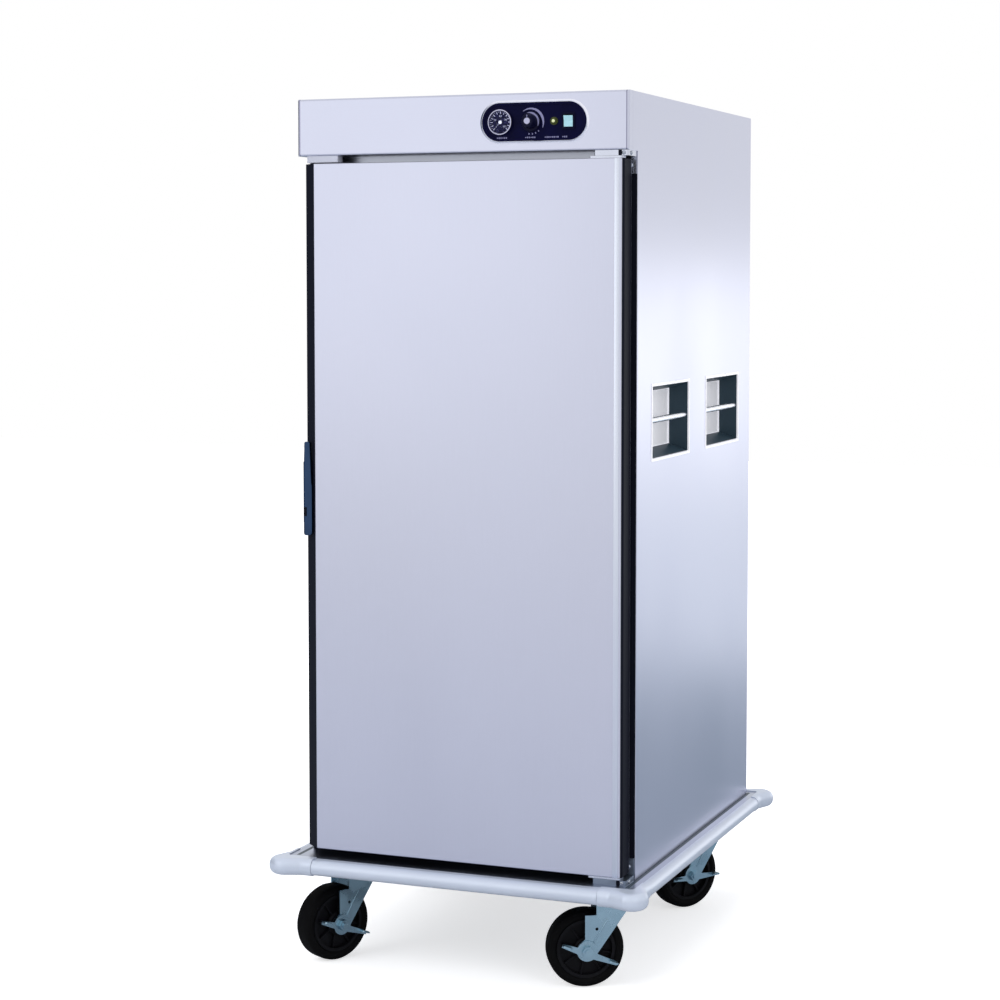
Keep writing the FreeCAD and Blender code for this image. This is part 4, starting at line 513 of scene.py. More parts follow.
@dataclass
class Piece:
    """A mesh being built in millimetres, with the operators that the sub-assemblies share."""

    name: str
    body: str
    slot: str
    bm: bmesh.types.BMesh = field(default_factory=bmesh.new)

    def _placed(self, verts: Sequence[Vert], axis: Axis, base: Point) -> None:
        """Turn new points from +Z to an axis and move them to a base."""
        bmesh.ops.transform(self.bm, matrix=Matrix.Translation(base) @ axis.value.to_4x4(), verts=verts)

    def block(self, low: Point, high: Point, bevel: float = 0.0, segments: int = 2,
              turn: Optional[Matrix] = None) -> list[Vert]:
        """Add a block between two corners.

        Args:
            low: The lowest corner.
            high: The highest corner.
            bevel: Radius of every edge.
            segments: Steps in each rounded edge.
            turn: How the finished block is turned and moved.

        Returns:
            The block's points.
        """
        verts = bmesh.ops.create_cube(self.bm, size=1)["verts"]
        bmesh.ops.scale(self.bm, vec=Vector(high) - Vector(low), verts=verts)
        bmesh.ops.translate(self.bm, vec=(Vector(high) + Vector(low)) / 2, verts=verts)
        if bevel:
            verts = self.rounded(edges_of(verts), bevel, segments)
        if turn is not None:
            bmesh.ops.transform(self.bm, matrix=turn, verts=verts)
        return verts

    def rounded(self, edges: list[Edge], radius: float, segments: int) -> list[Vert]:
        """Round edges, and give every point of the shapes they are on."""
        made = bmesh.ops.bevel(self.bm, geom=edges, offset=radius, offset_type="OFFSET", segments=segments,
                               profile=0.5, affect="EDGES", material=-1)
        return self.linked([vert for face in made["faces"] for vert in face.verts])

    @staticmethod
    def linked(verts: Iterable[Vert]) -> list[Vert]:
        """Every point of the islands that some points belong to."""
        seen = set(verts)
        queue = list(seen)
        while queue:
            for edge in queue.pop().link_edges:
                for other in edge.verts:
                    if other not in seen:
                        seen.add(other)
                        queue.append(other)
        return list(seen)

    def turned(self, profile: Sequence[Pair], axis: Axis, base: Point, steps: int = 48) -> list[Vert]:
        """Add a shape of revolution.

        Args:
            profile: Points as (radius, distance along the axis), in order round the section.
            axis: The way the shape points.
            base: Where the profile's zero distance lies on the axis.
            steps: Steps in the full turn.

        Returns:
            The shape's points.
        """
        verts = [self.bm.verts.new((radius, 0, along)) for radius, along in profile]
        edges = [self.bm.edges.new(pair) for pair in zip(verts, verts[1:])]
        made = bmesh.ops.spin(self.bm, geom=verts + edges, cent=(0, 0, 0), axis=(0, 0, 1),
                              angle=math.radians(360), steps=steps, use_merge=True)
        every = self.linked(points(made["geom_last"]))
        bmesh.ops.remove_doubles(self.bm, verts=every, dist=SAME_PLACE)
        every = self.linked([vert for vert in every if vert.is_valid])
        self._placed(every, axis, base)
        return every

    def hexagon(self, flats: float, height: float, axis: Axis, base: Point, bevel: float = 0.6) -> None:
        """Add a hexagon nut or head with its corners broken."""
        verts = bmesh.ops.create_cone(self.bm, cap_ends=True, segments=6, radius1=flats / math.sqrt(3),
                                      radius2=flats / math.sqrt(3), depth=height)["verts"]
        bmesh.ops.translate(self.bm, vec=(0, 0, height / 2), verts=verts)
        self._placed(self.rounded(edges_of(verts), bevel, 2), axis, base)

    def loops(self, rings: Sequence[list[Edge]]) -> None:
        """Bridge loops of edges in order, and back to the first."""
        for first, second in zip(rings, [*rings[1:], rings[0]]):
            bmesh.ops.bridge_loops(self.bm, edges=first + second)

    def pill_loop(self, radius: float, straight: float, centre: Point) -> list[Edge]:
        """Add a pill-shaped loop in the XZ plane."""
        segments = 64
        verts = bmesh.ops.create_circle(self.bm, segments=segments, radius=radius)["verts"]
        half_step = Matrix.Rotation(math.pi / segments, 3, "Z")
        bmesh.ops.rotate(self.bm, matrix=half_step, verts=verts)
        for side in (-1, 1):
            half = [vert for vert in verts if vert.co.x * side > 0]
            bmesh.ops.translate(self.bm, vec=(side * straight, 0, 0), verts=half)
        self._placed(verts, Axis.Y, centre)
        return edges_of(verts)

    def text(self, words: str, size: float, depth: float, centre: Point) -> None:
        """Add upright figures that face the door side."""
        curve = bpy.data.curves.new(self.name + "_figures", "FONT")
        curve.body = words
        curve.size = size
        curve.extrude = depth / 2
        curve.align_x = "CENTER"
        curve.align_y = "CENTER"
        curve.resolution_u = 2
        holder = bpy.data.objects.new(self.name + "_figures", curve)
        bpy.context.scene.collection.objects.link(holder)
        bpy.context.view_layer.update()
        mesh = bpy.data.meshes.new_from_object(holder.evaluated_get(bpy.context.evaluated_depsgraph_get()))
        mesh.transform(at(centre, 90, "X"))
        self.bm.from_mesh(mesh)
        bpy.data.objects.remove(holder)
        bpy.data.meshes.remove(mesh)

    def move(self, matrix: Matrix) -> "Piece":
        """Move everything built so far."""
        bmesh.ops.transform(self.bm, matrix=matrix, verts=self.bm.verts[:])
        return self

    def finish(self, finishes: Finishes, replaces: Sequence[str] = (), look: Optional[str] = None
               ) -> bpy.types.Object:
        """Close the mesh, make the object and put it on its body.

        Args:
            finishes: The finishes to dress it with.
            replaces: CAD nodes that it stands for.
            look: An extra finish to wear instead of the slot's own.

        Returns:
            The finished object.
        """
        bmesh.ops.recalc_face_normals(self.bm, faces=self.bm.faces[:])
        bmesh.ops.scale(self.bm, vec=(0.001, 0.001, 0.001), verts=self.bm.verts[:])
        mesh = bpy.data.meshes.new(self.name)
        self.bm.to_mesh(mesh)
        self.bm.free()
        made = bpy.data.objects.new(self.name, mesh)
        bpy.context.scene.collection.objects.link(made)
        made.data.materials.append(finishes.for_slot(look or self.slot))
        mesh.shade_smooth()
        mesh.set_sharp_from_angle(angle=math.radians(SHARP_FROM))
        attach(made, self.body)
        if replaces:
            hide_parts(*replaces)
        LOG.info("%s: %d faces on %s", self.name, len(mesh.polygons), self.body)
        return made


# ---------------------------------------------------------------- controls


@dataclass
class ControlPanel:
    """The pill-shaped panel and what is on it."""

    height: float = 1658.5
    fascia_y: float = -422.5
    field_y: float = -425.0
    bezel_x: float = 153.5
    bezel_straight: float = 68.5
    bezel_radius: float = 36.0
    dial_x: float = 87.0
    dial_face: float = -427.0
    knob_x: float = 148.0
    lamp_x: float = 194.0
    coldest: float = -135.0
    sweep: float = 270.0
    figure_radius: float = 11.6
    figure_size: float = 4.8
    ink: float = 0.12
    arc_width: float = 3.8
    arc_tip: float = 0.8
    step_angles: tuple[int, ...] = (140, 157, 174, 191)
    figures: tuple[str, ...] = ("0", "30", "60", "90", "120")
    caption_z: float = -29.5
    captions: tuple[Pair, ...] = ((79, 101), (136, 158), (175, 205), (210, 224))
    stroke: float = 2.3
    stroke_pitch: float = 3.6
    flute: float = 0.93

    def build(self, finishes: Finishes) -> None:
        """Build every piece of the panel."""
        self.trim(finishes)
        self.dial(finishes)
        self.needle(finishes)
        self.crescent_and_print(finishes)
        self.knob(finishes)
        self.lamp_core(finishes)

    def trim(self, finishes: Finishes) -> None:
        """A rim that flares round the panel's edge, its steel painted bright as a highlight."""
        piece = Piece("bezel_trim", "cabinet", "dial_case_chrome")
        section = ((0, 0), (4.5, 0), (4.5, -0.3), (2.6, -1.1), (1.1, -2.6), (0.4, -3.8), (0, -3.6))
        rings = [piece.pill_loop(self.bezel_radius + out, self.bezel_straight,
                                 (self.bezel_x, self.fascia_y + y, self.height)) for out, y in section]
        piece.loops(rings)
        piece.finish(finishes, look="trim_painted_highlight")

    def _ticks(self, piece: Piece, y: float, count: int, inner: float, outer: float, width: float,
               depth: float) -> None:
        """Add radial marks over the thermometer's sweep, the first at the lower left."""
        for step in range(count):
            angle = self.coldest + self.sweep * step / (count - 1)
            piece.block((-width / 2, y - depth, inner), (width / 2, y, outer),
                        turn=at((self.dial_x, 0, self.height), angle))

    def dial(self, finishes: Finishes) -> None:
        """The scale plate, its printed marks and its figures."""
        plate = Piece("dial_plate", "cabinet", "dial_paint")
        plate.turned(((0.9, 0), (0.9, -0.5), (12.5, -0.5), (13, -0.35), (21.4, -0.35), (21.8, 0),
                      (0.9, 0)), Axis.Y, (self.dial_x, self.dial_face, self.height), 64)
        plate.finish(finishes, replaces=["thermometer_dial"])
        front = self.dial_face - 0.3
        marks = Piece("dial_marks", "cabinet", "dial_paint")
        self._ticks(marks, front, count=25, inner=18.6, outer=20.4, width=0.6, depth=0.2)
        self._ticks(marks, front, count=13, inner=15.6, outer=20.4, width=1.3, depth=0.23)
        for index, words in enumerate(self.figures):
            angle = math.radians(self.coldest + self.sweep * index / (len(self.figures) - 1))
            x, z = self.figure_radius * math.sin(angle), self.figure_radius * math.cos(angle)
            marks.text(words, self.figure_size, self.ink, (self.dial_x + x, front - 0.25, self.height + z))
        marks.finish(finishes, look="pale_print")

    def needle(self, finishes: Finishes) -> None:
        """The needle with its tail and a hub whose brightness and glow are painted light."""
        hand = Piece("needle_hand", "thermometer_needle", "needle_paint")
        tip = hand.block((-1.2, -429.1, -5), (1.2, -428.6, 16.5), 0.12, 1)
        for vert in tip:
            vert.co.x *= 0.3 if vert.co.z > 5 else 1
        hand.move(at((self.dial_x, 0, self.height), self.coldest))
        hand.finish(finishes, replaces=["thermometer_needle"])
        hub = Piece("needle_hub", "thermometer_needle", "dial_case_chrome")
        hub.turned(((0, -1.3), (0.95, -1.3), (0.95, 0), (3.2, 0), (3.2, -0.8), (2.5, -1.4), (0, -1.6)),
                   Axis.Y, (self.dial_x, -428.6, self.height), 32)
        hub.finish(finishes, look="hub_painted_glow")

    def _arc(self, piece: Piece, y: float, bounds: Sequence[float], outer: float) -> None:
        """Add a flat pale crescent round the knob, widest between its ends.

        Args:
            piece: The mesh to add to.
            y: The arc's front.
            bounds: Start, end and widest angle in degrees, clockwise from the top.
            outer: Radius of the arc's outer edge.
        """
        start, end, widest = bounds
        section = [piece.bm.verts.new((0, y, radius))
                   for radius in (outer - self.arc_width - self.arc_tip, outer)]
        edge = piece.bm.edges.new(section)
        bmesh.ops.rotate(piece.bm, matrix=Matrix.Rotation(math.radians(start), 3, "Y"), verts=section)
        made = bmesh.ops.spin(piece.bm, geom=section + [edge], cent=(0, 0, 0), axis=(0, 1, 0),
                              angle=math.radians(end - start), steps=48)
        verts = Piece.linked(points(made["geom_last"]))
        for vert in verts:
            radius = math.hypot(vert.co.x, vert.co.z)
            if radius < outer - 1:
                turn = math.degrees(math.atan2(vert.co.x, vert.co.z))
                span = widest - start if turn < widest else end - widest
                share = math.cos(min(1, abs(turn - widest) / span) * math.pi / 2)
                inner = outer - self.arc_tip - self.arc_width * share
                vert.co.x *= inner / radius
                vert.co.z *= inner / radius
        faces = list({face for vert in verts for face in vert.link_faces})
        moved = points(bmesh.ops.extrude_face_region(piece.bm, geom=faces)["geom"])
        bmesh.ops.translate(piece.bm, vec=(0, self.ink, 0), verts=moved)
        bmesh.ops.translate(piece.bm, vec=(self.knob_x, 0, self.height), verts=Piece.linked(verts + moved))

    def crescent_and_print(self, finishes: Finishes) -> None:
        """What lies on the panel: a pale crescent round the knob, its steps, and plain strokes as captions.
        """
        scale = Piece("panel_crescent_and_print", "cabinet", "bezel_gloss")
        front = self.field_y - self.ink
        self._arc(scale, front, bounds=(-40, 118, 62), outer=25.9)
        for angle in self.step_angles:
            scale.block((-0.9, front, 21.5), (0.9, self.field_y, 24.5),
                        turn=at((self.knob_x, 0, self.height), angle))
        for start, end in self.captions:
            for step in range(int((end - start) / self.stroke_pitch)):
                x = start + self.stroke_pitch * step
                high = 1.5 if step % 3 else 1
                scale.block((x, front, self.height + self.caption_z - high),
                            (x + self.stroke, self.field_y, self.height + self.caption_z + high))
        scale.finish(finishes, look="print_and_painted_highlight")

    def knob(self, finishes: Finishes) -> None:
        """The knob: a lipped skirt with a pale crescent painted on as a highlight, a fluted grip, a pale cap
        and a pointer line.
        """
        base = (self.knob_x, self.field_y - 0.3, self.height)
        body = Piece("knob_body", "thermostat_knob", "knob_plastic")
        body.turned(((0, 24), (3, 24), (3, 0), (18.6, 0), (19, -0.6), (19, -2.4),
                     (18, -4.2), (16.2, -5), (12, -5), (12, -20), (0, -20)), Axis.Y, base, 64)
        cup = bmesh.ops.create_cone(body.bm, cap_ends=True, segments=48, radius1=14.2, radius2=12.4,
                                    depth=18.4)["verts"]
        for vert in cup[::2]:
            vert.co.x *= self.flute
            vert.co.y *= self.flute
        rims = [edge for edge in edges_of(cup) if all(vert.co.z > 0 for vert in edge.verts)]
        bmesh.ops.transform(body.bm, matrix=at((base[0], base[1] - 13.8, base[2]), 90, "X"),
                            verts=body.rounded(rims, 1.3, 3))
        body.finish(finishes, replaces=["thermostat_knob"])
        cap = Piece("knob_cap", "thermostat_knob", "dial_case_chrome")
        cap.turned(((0, -22.4), (5.2, -22.4), (6, -23.1), (5.4, -23.7), (0, -24)), Axis.Y, base, 48)
        cap.finish(finishes, look="knob_cap")
        line = Piece("knob_line_and_rim_highlight", "thermostat_knob", "knob_plastic")
        # The pale crescent on the skirt's rim is a painted highlight.
        self._arc(line, base[1] - 5 - self.ink, bounds=(-20, 120, 60), outer=17.6)
        line.block((self.knob_x - 0.7, base[1] - 23.3, self.height + 6.6),
                   (self.knob_x + 0.7, base[1] - 22.6, self.height + 11.6), 0.2, 1)
        line.finish(finishes, look="print_and_painted_highlight")

    def lamp_core(self, finishes: Finishes) -> None:
        """The pale heart of the pilot lamp, set in the lens."""
        core = Piece("lamp_heart", "cabinet", "lamp_lens")
        core.turned(((0, 0.9), (2.6, 0.9), (3.2, 0.2), (2.6, -0.5), (1.4, -0.95), (0, -1.1)), Axis.Y,
                    (self.lamp_x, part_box("pilot_lamp")[0][1] * 1000, self.height), 32)
        core.finish(finishes, look="lamp_core")


# ---------------------------------------------------------------- castors


@dataclass
class Castor:
    """One swivel castor, built at its kingpin and then turned to its trail."""

    corner: str
    x: float
    y: float
    yaw: float
    trail: float = 55.0
    axle: float = 75.0
    tyre_radius: float = 75.0
    tyre_width: float = 45.0
    rim_radius: float = 57.0
    fork_outside: float = 32.0
    head_top: float = 178.7
    applied: float = 20.0
    ribs: int = 8
    pad_bars: int = 4

    @property
    def place(self) -> Matrix:
        """From the castor's own frame to the trolley's."""
        return at((self.x, self.y, 0), self.yaw, "Z")

    @property
    def hub(self) -> Point:
        """The wheel's middle in the castor's own frame."""
        return -self.trail, 0, self.axle

    def build(self, finishes: Finishes) -> None:
        """Build every piece of the castor."""
        self.tyre(finishes)
        self.hub_ribs(finishes)
        self.swivel(finishes)
        self.pads(finishes)

    def tyre(self, finishes: Finishes) -> None:
        """A crowned tyre with moulded sidewall steps."""
        radius, half = self.tyre_radius, self.tyre_width / 2
        rim = self.rim_radius
        side = ((rim + 0.05, half - 4), (rim + 3, half - 0.8), (rim + 4.5, half - 0.1), (rim + 8.5, half),
                (radius - 7.4, half - 0.6), (radius - 6.6, half - 1.4), (radius - 5, half - 1.6),
                (radius - 2.6, half - 3.2), (radius - 0.9, half - 6.2), (radius - 0.15, half - 10.5),
                (radius, half - 17))
        section = list(side) + [(r, -y) for r, y in reversed(side)] + [side[0]]
        piece = Piece("tyre_" + self.corner + "_moulded", "wheel_" + self.corner, "tyre_rubber")
        piece.turned(section, Axis.Y, self.hub, 72)
        piece.move(self.place).finish(finishes, replaces=["tyre_" + self.corner])

    def hub_ribs(self, finishes: Finishes) -> None:
        """Ribs between boss and rim, and a thread guard on each side of the boss."""
        piece = Piece("hub_ribs_" + self.corner, "wheel_" + self.corner, "hub_nylon")
        for side in (-1, 1):
            y0, y1 = sorted((side * 7.5, side * 15.5))
            for step in range(self.ribs):
                piece.block((15, y0, -1.6), (52, y1, 1.6), 0.6, 1,
                            turn=at(self.hub, 360 / self.ribs * step + 11))
            guard = ((17.1, side * 14), (21.5, side * 14), (23, side * 15.5), (22, side * 18.5),
                     (18.5, side * 20.5), (17.1, side * 20.5), (17.1, side * 14))
            piece.turned(guard, Axis.Y, self.hub, 40)
        piece.move(self.place).finish(finishes)

    def swivel(self, finishes: Finishes) -> None:
        """The raceway's rim on the fork's head, a grease nipple, the fork's ribs and the axle's washer."""
        piece = Piece("swivel_trim_" + self.corner, "caster_" + self.corner, "zinc_plate")
        top = self.head_top
        piece.turned(((33, -7.5), (34.6, -6.8), (35.2, -4.6), (34.8, -2.2), (33.8, -0.6), (32.2, -0.1),
                      (32.2, -7.5), (33, -7.5)), Axis.Z, (0, 0, top), 56)
        piece.turned(((0, 4.5), (1.6, 4.5), (1.9, 3.6), (1.5, 2.8), (2.6, 2.2), (2.6, 0), (0, 0)),
                     Axis.X, (35, 0, top - 4), 20)
        for side in (-1, 1):
            y0, y1 = sorted((side * (self.fork_outside - 0.4), side * (self.fork_outside + 0.9)))
            piece.block((-1.6, y0, 0), (1.6, y1, 58), 0.8, 2, turn=at((-44, 0, 88), 31))
        piece.turned(((6.3, 0), (11.4, 0), (11.4, 0.28), (6.3, 0.28), (6.3, 0)), Axis.Y,
                     (-self.trail, -self.fork_outside - 0.29, self.axle), 40)
        piece.move(self.place).finish(finishes)

    def pads(self, finishes: Finishes) -> None:
        """Anti-slip bars on the brake lever's foot pads."""
        piece = Piece("brake_grip_" + self.corner, "brake_" + self.corner, "zinc_plate")
        tilt = self.applied if self.corner.startswith("front") else 0
        outer = -self.fork_outside - 3.3
        for start, end in ((47, 63), (-49, -33)):
            for step in range(self.pad_bars):
                x = start + (end - start) * (step + 0.5) / self.pad_bars
                piece.block((x - 0.8, outer - 10.5, -1.6), (x + 0.8, outer - 0.6, -0.9), 0.25, 1)
        piece.move(self.place @ at(self.hub, tilt)).finish(finishes)


# ---------------------------------------------------------------- cabinet


@dataclass
class DoorSeal:
    """The moulded seal round the door's inner face."""

    half_x: float = 310.8
    low: float = 251.0
    high: float = 1575.0
    back_y: float = -377.5
    face_y: float = -369.8
    width: float = 16.0

    def build(self, finishes: Finishes) -> None:
        """A bulb with two folds, mitred at the corners."""
        piece = Piece("seal_bulb", "door", "gasket_rubber")
        deep = self.face_y - self.back_y
        section = ((0, 0), (0, 0.22), (1.6, 0.34), (0.6, 0.5), (0.5, 0.75), (2, 0.95), (4, 1),
                   (12, 1), (14.2, 0.94), (15.5, 0.72), (15.3, 0.5), (14.2, 0.34), (16, 0.22),
                   (16, 0))
        start = [piece.bm.verts.new((inset - self.half_x, self.back_y + deep * share, self.low + inset))
                 for inset, share in section]
        ring = [piece.bm.edges.new(pair) for pair in zip(start, start[1:] + start[:1])]
        middle = Matrix.Translation((0, 0, (self.low + self.high) / 2))
        for mirror in ((-1, 1, 1, 1), (1, 1, -1, 1)) * 2:
            verts = set(points(bmesh.ops.extrude_edge_only(piece.bm, edges=ring)["geom"]))
            ring = [edge for edge in edges_of(verts) if verts.issuperset(edge.verts)]
            bmesh.ops.transform(piece.bm, matrix=middle @ Matrix.Diagonal(mirror) @ middle.inverted(),
                                verts=list(verts))
        bmesh.ops.remove_doubles(piece.bm, verts=piece.bm.verts[:], dist=SAME_PLACE)
        piece.finish(finishes, replaces=["door_gasket"])


@dataclass
class DoorTrim:
    """The folded bead down the door's hinge side."""

    left: float = 311.4
    right: float = 321.6
    low: float = 238.2
    high: float = 1588.0
    face_y: float = -422.5

    def build(self, finishes: Finishes) -> None:
        """A strip with rounded edges that stands just proud of the door, in steel painted brighter than the
        door's as a highlight.
        """
        piece = Piece("door_bead", "door", "stainless_shell")
        piece.block((self.left, self.face_y - 0.55, self.low), (self.right, self.face_y + 0.1, self.high),
                    0.32, 3)
        piece.finish(finishes, look="door_edge_highlight")


@dataclass
class RearService:
    """Louvre hoods on the rear cover."""

    centre_z: float = 1658.0
    cover_face: float = 424.0
    pitch: float = 14.0
    count: int = 4
    length: float = 236.0
    lift: float = 2.6
    proud: float = 4.0
    hood: float = 6.0
    slope: float = 3.4
    taper: float = 0.97

    def build(self, finishes: Finishes) -> None:
        """Sloped hoods with rounded edges over the slots."""
        piece = Piece("louvre_hoods", "cabinet", "stainless_shell")
        first = self.centre_z - (self.count - 1) * self.pitch / 2
        for step in range(self.count):
            z = first + step * self.pitch + self.lift
            verts = piece.block((-self.length / 2, self.cover_face - 0.2, z),
                                (self.length / 2, self.cover_face + self.proud, z + self.hood))
            front = [vert for vert in verts if vert.co.y > self.cover_face + self.proud / 2]
            upper = [vert for vert in front if vert.co.z > z + self.hood / 2]
            bmesh.ops.translate(piece.bm, vec=(0, -self.slope, 0), verts=upper)
            lower = [vert for vert in front if vert not in upper]
            bmesh.ops.scale(piece.bm, vec=(self.taper, 1, 1), verts=lower)
            piece.rounded([edge for edge in edges_of(verts) if edge.calc_length() > self.length / 2
                           and max(vert.co.y for vert in edge.verts) > self.cover_face + 0.1], 1, 3)
        piece.finish(finishes)


@dataclass
class Screws:
    """The screws and bolts with their drives, and the bushes in the hinge arms."""

    bolt_x: tuple[float, ...] = (-315, -235, 235, 315)
    bolt_y: tuple[float, ...] = (-342, -282, 282, 342)
    plate_under: float = 186.0
    channel_floor: float = 193.0
    cover_x: float = 163.0
    cover_z: Pair = (1620, 1696)
    cover_face: float = 424.0
    hinge_x: float = 328.0
    hinge_z: Pair = (1576.7, 249.3)
    hinge_face: float = -373.2
    arm_z: Pair = (228.15, 1597.85)
    arm_front: Pair = (329, -420)
    arm_side: Pair = (338, -403)

    def build(self, finishes: Finishes) -> None:
        """Build every fastener as one set that replaces the plain solids, and the bushes."""
        piece = Piece("screw_set", "cabinet", "screw_steel")
        for x in self.bolt_x:
            for y in self.bolt_y:
                piece.hexagon(13, 5.3, Axis.Z, (x, y, self.plate_under - 5.3))
                piece.hexagon(13, 6.5, Axis.Z, (x, y, self.channel_floor))
                piece.turned(((0, 0), (4, 0), (4, 13.5), (0, 13.5)), Axis.Z, (x, y, self.plate_under), 20)
        for x in (-self.cover_x, self.cover_x):
            for z in self.cover_z:
                self.pan_head(piece, (x, self.cover_face, z), Axis.Y, 1)
        for z in self.hinge_z:
            self.pan_head(piece, (self.hinge_x, self.hinge_face, z), Axis.Y, -1)
        for z in self.arm_z:
            self.pan_head(piece, (*self.arm_front, z), Axis.Y, -1)
            self.pan_head(piece, (*self.arm_side, z), Axis.X, 1)
        piece.finish(finishes, replaces=["fasteners"])
        bush = Piece("hinge_bushes", "cabinet", "gasket_rubber")
        for z in self.arm_z:
            bush.block((318.6, -420.9, z - 5), (325.2, -419.9, z + 5), 0.3, 1)
        bush.finish(finishes, look="black_bush")

    @staticmethod
    def pan_head(piece: Piece, seat: Point, axis: Axis, facing: int) -> None:
        """A domed head with a socket drive, facing along its axis (1) or against it (-1)."""
        head = ((0, 1.5 * facing), (1, 1.55 * facing), (1.5, 2.15 * facing), (2.6, 1.9 * facing),
                (3.6, 1.2 * facing), (4, 0.4 * facing), (4, 0), (2, 0), (2, -8 * facing),
                (0, -8 * facing))
        piece.turned(head, axis, seat, 28)


@dataclass
class FanGuard:
    """The wire guard under the baffle's inlet."""

    y: float = 9.0
    plate_under: float = 1503.0
    radii: tuple[float, ...] = (24, 48, 72, 96)
    wire: float = 1.2
    sides: int = 6
    spokes: int = 6

    def build(self, finishes: Finishes) -> None:
        """Rings and spokes of round wire, welded to the plate."""
        piece = Piece("fan_guard", "cabinet", "hinge_steel")
        z = self.plate_under - 3.2
        for radius in self.radii:
            ring = [(radius + self.wire * math.cos(turn), self.wire * math.sin(turn))
                    for turn in (math.tau / self.sides * step for step in range(self.sides))]
            piece.turned(ring + ring[:1], Axis.Z, (0, self.y, z), 48)
        for step in range(self.spokes):
            piece.block((22, -1, z + 1), (98, 1, self.plate_under), 0.4, 1,
                        turn=at((0, self.y, 0), 360 / self.spokes * step + 30, "Z"))
        piece.finish(finishes)


# ---------------------------------------------------------------- studio


@dataclass(frozen=True)
class Lamp:
    """One soft lamp, aimed at the cabinet."""

    name: str
    place: Point
    size: float
    power: float
    in_metal: bool = False
    aim: Point = (0, 0, 0.9)


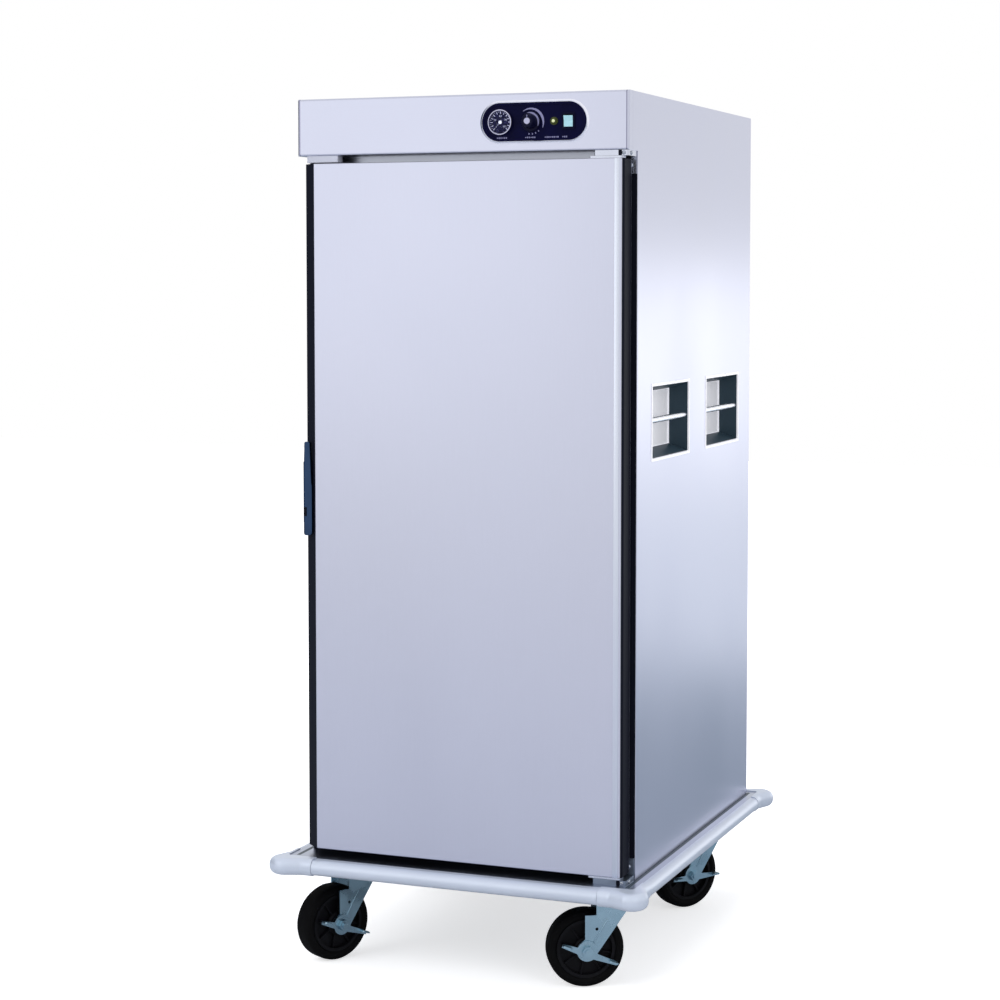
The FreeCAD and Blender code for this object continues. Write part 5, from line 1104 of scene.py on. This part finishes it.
@dataclass
class Studio:
    """Floor, backdrop light, lamps and the camera at the photograph's angle."""

    camera_place: Point = (1.6793, -4.4718, 1.3705)
    yaw: float = 21.5
    tilt: float = 3.59
    lens: float = 82.73
    shift: float = -0.08
    floor_reach: float = 12.0
    floor_front: float = -4.2
    floor_colour: Point = (0.8, 0.8, 0.81)
    # Seen in metal, the floor is darker behind the trolley than in front: a painted shadow in its
    # reflections.
    floor_in_door: Point = (0.7, 0.72, 0.77)
    floor_in_side: Point = (0.43, 0.5, 0.57)
    side_from: Pair = (-1.2, 0.6)
    white_from: Pair = (0.35, 1.5)
    shadow_white: float = 0.6
    grey_light: Point = (0.55, 0.56, 0.58)
    dark_side: Pair = (-0.95, -0.62)
    dark_colour: Point = (0.03, 0.05, 0.08)
    lamps: tuple[Lamp, ...] = (
        Lamp("key", (-2.4, -3.6, 3.2), 2.4, 70),
        Lamp("fill", (3.4, -2.4, 2.4), 2.4, 45),
        Lamp("top", (0, 0.4, 4.4), 3, 45),
        Lamp("sheen", (-2.3, -4.4, 2), 2.4, 8, True, (-0.2, -0.42, 1.3)),
        Lamp("flank", (1.7, 3.1, 0.5), 1.8, 8.5, True, (0.34, 0, 0.6)),
    )

    def build(self) -> None:
        """Build the studio."""
        self.camera()
        self.floor()
        self.world()
        for lamp in self.lamps:
            self.light(lamp)
        bpy.context.scene.view_settings.view_transform = "Standard"

    def camera(self) -> None:
        """The camera at the photograph's place, its frame a little lower than its axis."""
        data = bpy.data.cameras.new("studio_camera")
        data.lens = self.lens
        data.sensor_width = 36
        data.shift_y = self.shift
        data.clip_end = 60
        camera = bpy.data.objects.new("studio_camera", data)
        camera.location = self.camera_place
        camera.rotation_euler = (math.radians(90 - self.tilt), 0, math.radians(self.yaw))
        bpy.context.scene.collection.objects.link(camera)
        bpy.context.scene.camera = camera

    @staticmethod
    def _straight(tree: Tree, path: bpy.types.Node) -> Socket:
        """One for a camera or transmission ray, zero for the rest."""
        return joined(tree, "MAXIMUM", path.outputs["Is Camera Ray"], path.outputs["Is Transmission Ray"])

    def floor(self) -> None:
        """A pale floor that goes white where the camera sees it, apart from the shadow near the castors."""
        bm = bmesh.new()
        bmesh.ops.create_grid(bm, x_segments=1, y_segments=1, size=self.floor_reach)
        for vert in bm.verts:
            vert.co.y = max(vert.co.y, self.floor_front)
        mesh = bpy.data.meshes.new("studio_floor")
        bm.to_mesh(mesh)
        bm.free()
        floor = bpy.data.objects.new("studio_floor", mesh)
        bpy.context.scene.collection.objects.link(floor)
        made = bpy.data.materials.new("studio_floor")
        made.use_nodes = True
        tree = made.node_tree
        shader = tree.nodes["Principled BSDF"]
        for label, value in (("Roughness", 0.9), ("Specular IOR Level", 0),
                             ("Emission Color", (1, 1, 1, 1))):
            shader.inputs[label].default_value = value
        place = object_space(tree)
        radius = add(tree, "VectorMath", {0: place}, operation="LENGTH").outputs["Value"]
        away = spread(tree, radius, self.white_from, (self.shadow_white, 1), smooth=True)
        depth = spread(tree, add(tree, "SeparateXYZ", {0: place}).outputs["Y"], self.side_from)
        path = add(tree, "LightPath")
        # The floor that metal mirrors is painted darker towards the back, a painted shadow in reflections.
        metal = mixed(tree, depth, self.floor_in_door, self.floor_in_side)
        colour = mixed(tree, path.outputs["Is Glossy Ray"], self.floor_colour, metal)
        tree.links.new(colour, shader.inputs["Base Color"])
        white = joined(tree, "MULTIPLY", away, self._straight(tree, path))
        tree.links.new(white, shader.inputs["Emission Strength"])
        mesh.materials.append(made)

    def world(self) -> None:
        """White behind the object, plain grey light from all round, and a dark side to the left for metal."""
        world = bpy.data.worlds.new("studio_world")
        bpy.context.scene.world = world
        world.use_nodes = True
        tree = world.node_tree
        way = add(tree, "SeparateXYZ", {0: add(tree, "TexCoord").outputs["Generated"]}).outputs["X"]
        path = add(tree, "LightPath")
        metal = mixed(tree, spread(tree, way, self.dark_side, smooth=True), self.dark_colour, (1, 1, 1))
        around = mixed(tree, path.outputs["Is Glossy Ray"], self.grey_light, metal)
        seen = mixed(tree, self._straight(tree, path), around, (1, 1, 1))
        tree.links.new(seen, tree.nodes["Background"].inputs["Color"])

    @staticmethod
    def light(lamp: Lamp) -> None:
        """Add a square soft lamp, which metal mirrors only where it is meant to."""
        data = bpy.data.lights.new(lamp.name, "AREA")
        data.shape = "SQUARE"
        data.size = lamp.size
        data.energy = lamp.power
        made = bpy.data.objects.new(lamp.name, data)
        made.location = lamp.place
        aim = Vector(lamp.aim) - Vector(lamp.place)
        made.rotation_euler = aim.to_track_quat("-Z", "Y").to_euler()
        made.visible_camera = False
        made.visible_glossy = lamp.in_metal
        bpy.context.scene.collection.objects.link(made)


# ---------------------------------------------------------------- the whole scene


def dress_nodes(finishes: Finishes) -> None:
    """Give every CAD node the finish of its slot."""
    for part in frame["record"]["subparts"]:
        node = frame["nodes"][part["node"]]
        material = finishes.for_node(part["node"], part["material_slot"])
        node.data.materials.clear()
        node.data.materials.append(material)


def castors() -> list[Castor]:
    """The four castors, each with its kingpin's place and its trail's direction."""
    return [Castor("front_left", -275, -312, 60), Castor("front_right", 275, -312, 29),
            Castor("rear_right", 275, 312, 53), Castor("rear_left", -275, 312, 45)]


def main() -> None:
    """Build the studio, the finishes and every sub-assembly."""
    logging.basicConfig(level=logging.INFO, format="%(message)s")
    Studio().build()
    finishes = Finishes(Effects())
    dress_nodes(finishes)
    ControlPanel().build(finishes)
    for castor in castors():
        castor.build(finishes)
    for assembly in (DoorSeal(), DoorTrim(), RearService(), Screws(), FanGuard()):
        assembly.build(finishes)


if __name__ == "__main__":
    main()
